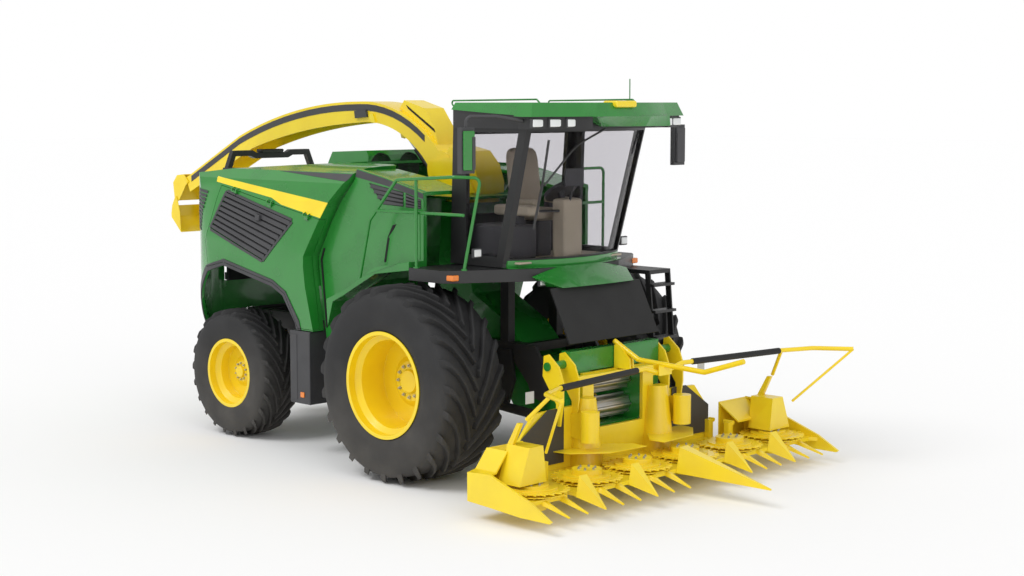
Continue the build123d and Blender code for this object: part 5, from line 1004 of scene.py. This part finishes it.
# Rotors: six toothed yellow discs in tiers, each bolted down on its own shaft by a ring of
# hexagonal bolts.
rotor_bolts = finish_of("bolt_steel", (0.42, 0.42, 0.43), 0.38, metallic=0.9)
ROTORS = 6
ROTOR_EDGE = 0.003
ROTOR_SHARPEST = 35
ROTOR_BOLTS, BOLT_ACROSS, BOLT_HEIGHT, BOLT_CIRCLE = 6, 0.026, 0.012, 0.085
for number in range(1, ROTORS + 1):
    node = f"rotor_{number}"
    dress(node, gloss_yellow, ROTOR_EDGE, 2, ROTOR_SHARPEST)
    low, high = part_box(node)
    top = (low + high) / 2
    top.z = high.z
    seed = moved(nut(BOLT_ACROSS, BOLT_HEIGHT, (0, 0, 1)), (BOLT_CIRCLE, 0, 0))
    bolts = copies_of(f"{node}_bolts", seed, ROTOR_BOLTS, rotor_bolts, top, turn=(0, 0, tau / ROTOR_BOLTS))
    fit(bolts, body_of_node[node], "bare_steel", None)

# Spout: a curved yellow box section that turns on the deck and folds onto a black rest. A dark
# band follows its upper edge, and a clamp, a junction and a sensor slot sit on its sides. The
# slot is a flat near-black cover: painted shade in its opening.
BOOM_EDGE_WIDTH = 0.008
BAND_INSET, BAND_DEPTH = 0.030, 0.105
BAND_START = 2
ARC_STEPS = 10
SPOUT_INNER = 0.05
CLAMP = [[(-2.051, 3.79), (-1.990, 3.81), (-1.936, 3.690), (-1.990, 3.655)]]
JUNCTION = [[(-2.304, 3.835), (-2.100, 3.850), (-2.083, 3.768), (-2.290, 3.750)]]
# The sensor slot is drawn as a near-black strip: painted shade in the slot.
SENSOR_SLOT = [[(-1.48, 3.905), (-1.02, 3.640), (-1.00, 3.600), (-1.45, 3.865)]]


def arc_through(first, middle, last):
    """Places along the circular arc through three places."""
    (ax, az), (bx, bz), (cx, cz) = first, middle, last
    turn = 2 * (ax * (bz - cz) + bx * (cz - az) + cx * (az - bz))
    a_square, b_square, c_square = ax * ax + az * az, bx * bx + bz * bz, cx * cx + cz * cz
    hub = Vector(((a_square * (bz - cz) + b_square * (cz - az) + c_square * (az - bz)) / turn,
                  (a_square * (cx - bx) + b_square * (ax - cx) + c_square * (bx - ax)) / turn))
    start, end = Vector(first) - hub, Vector(last) - hub
    sweep = start.angle_signed(end)
    places = []
    for step in range(ARC_STEPS + 1):
        angle = sweep * step / ARC_STEPS
        spun = Vector((start.x * cos(angle) + start.y * sin(angle),
                       start.y * cos(angle) - start.x * sin(angle)))
        places.append(tuple(hub + spun))
    return places


boom_edge = arc_through((-0.90, 3.398), (-1.42, 3.775), (-2.25, 3.945))
boom_edge += arc_through((-2.25, 3.945), (-3.43, 3.832), (-4.548, 3.515))[1:]
boom_edge += [(-5.60, 3.008)]
boom_band = [[(near[0], near[1] - BAND_INSET), (near[0], near[1] - BAND_DEPTH),
              (far[0], far[1] - BAND_DEPTH), (far[0], far[1] - BAND_INSET)]
             for near, far in zip(boom_edge[BAND_START:], boom_edge[BAND_START + 1:])]
# columns: piece, lift, slot, finish, outlines
BOOM_COVERS = [("boom_band", 0.004, "black_paint", charcoal, boom_band),
               ("boom_clamp", 0.022, "yellow_paint", gloss_yellow, CLAMP),
               ("boom_junction", 0.030, "black_plastic", charcoal, JUNCTION),
               ("sensor_slot", 0.006, "black_plastic", shade_and_seal_black, SENSOR_SLOT)]
dress("spout_boom", gloss_yellow, BOOM_EDGE_WIDTH)
for node in ("spout_turntable", "spout_flap", "spout_tip_flap"):
    dress(node, gloss_yellow)
dress("crop_channel", gloss_green)
dress("spout_cylinder_barrel", satin_black)
dress("spout_cylinder_rod", worn_steel)
dress("spout_rest", satin_black)
slab("rest_pad", (-4.24, -0.18, 3.315), (-4.14, 0.18, 3.352), 0.012, "black_rubber", rubber)
cover_sides("spout_boom", BOOM_COVERS, SPOUT_INNER)
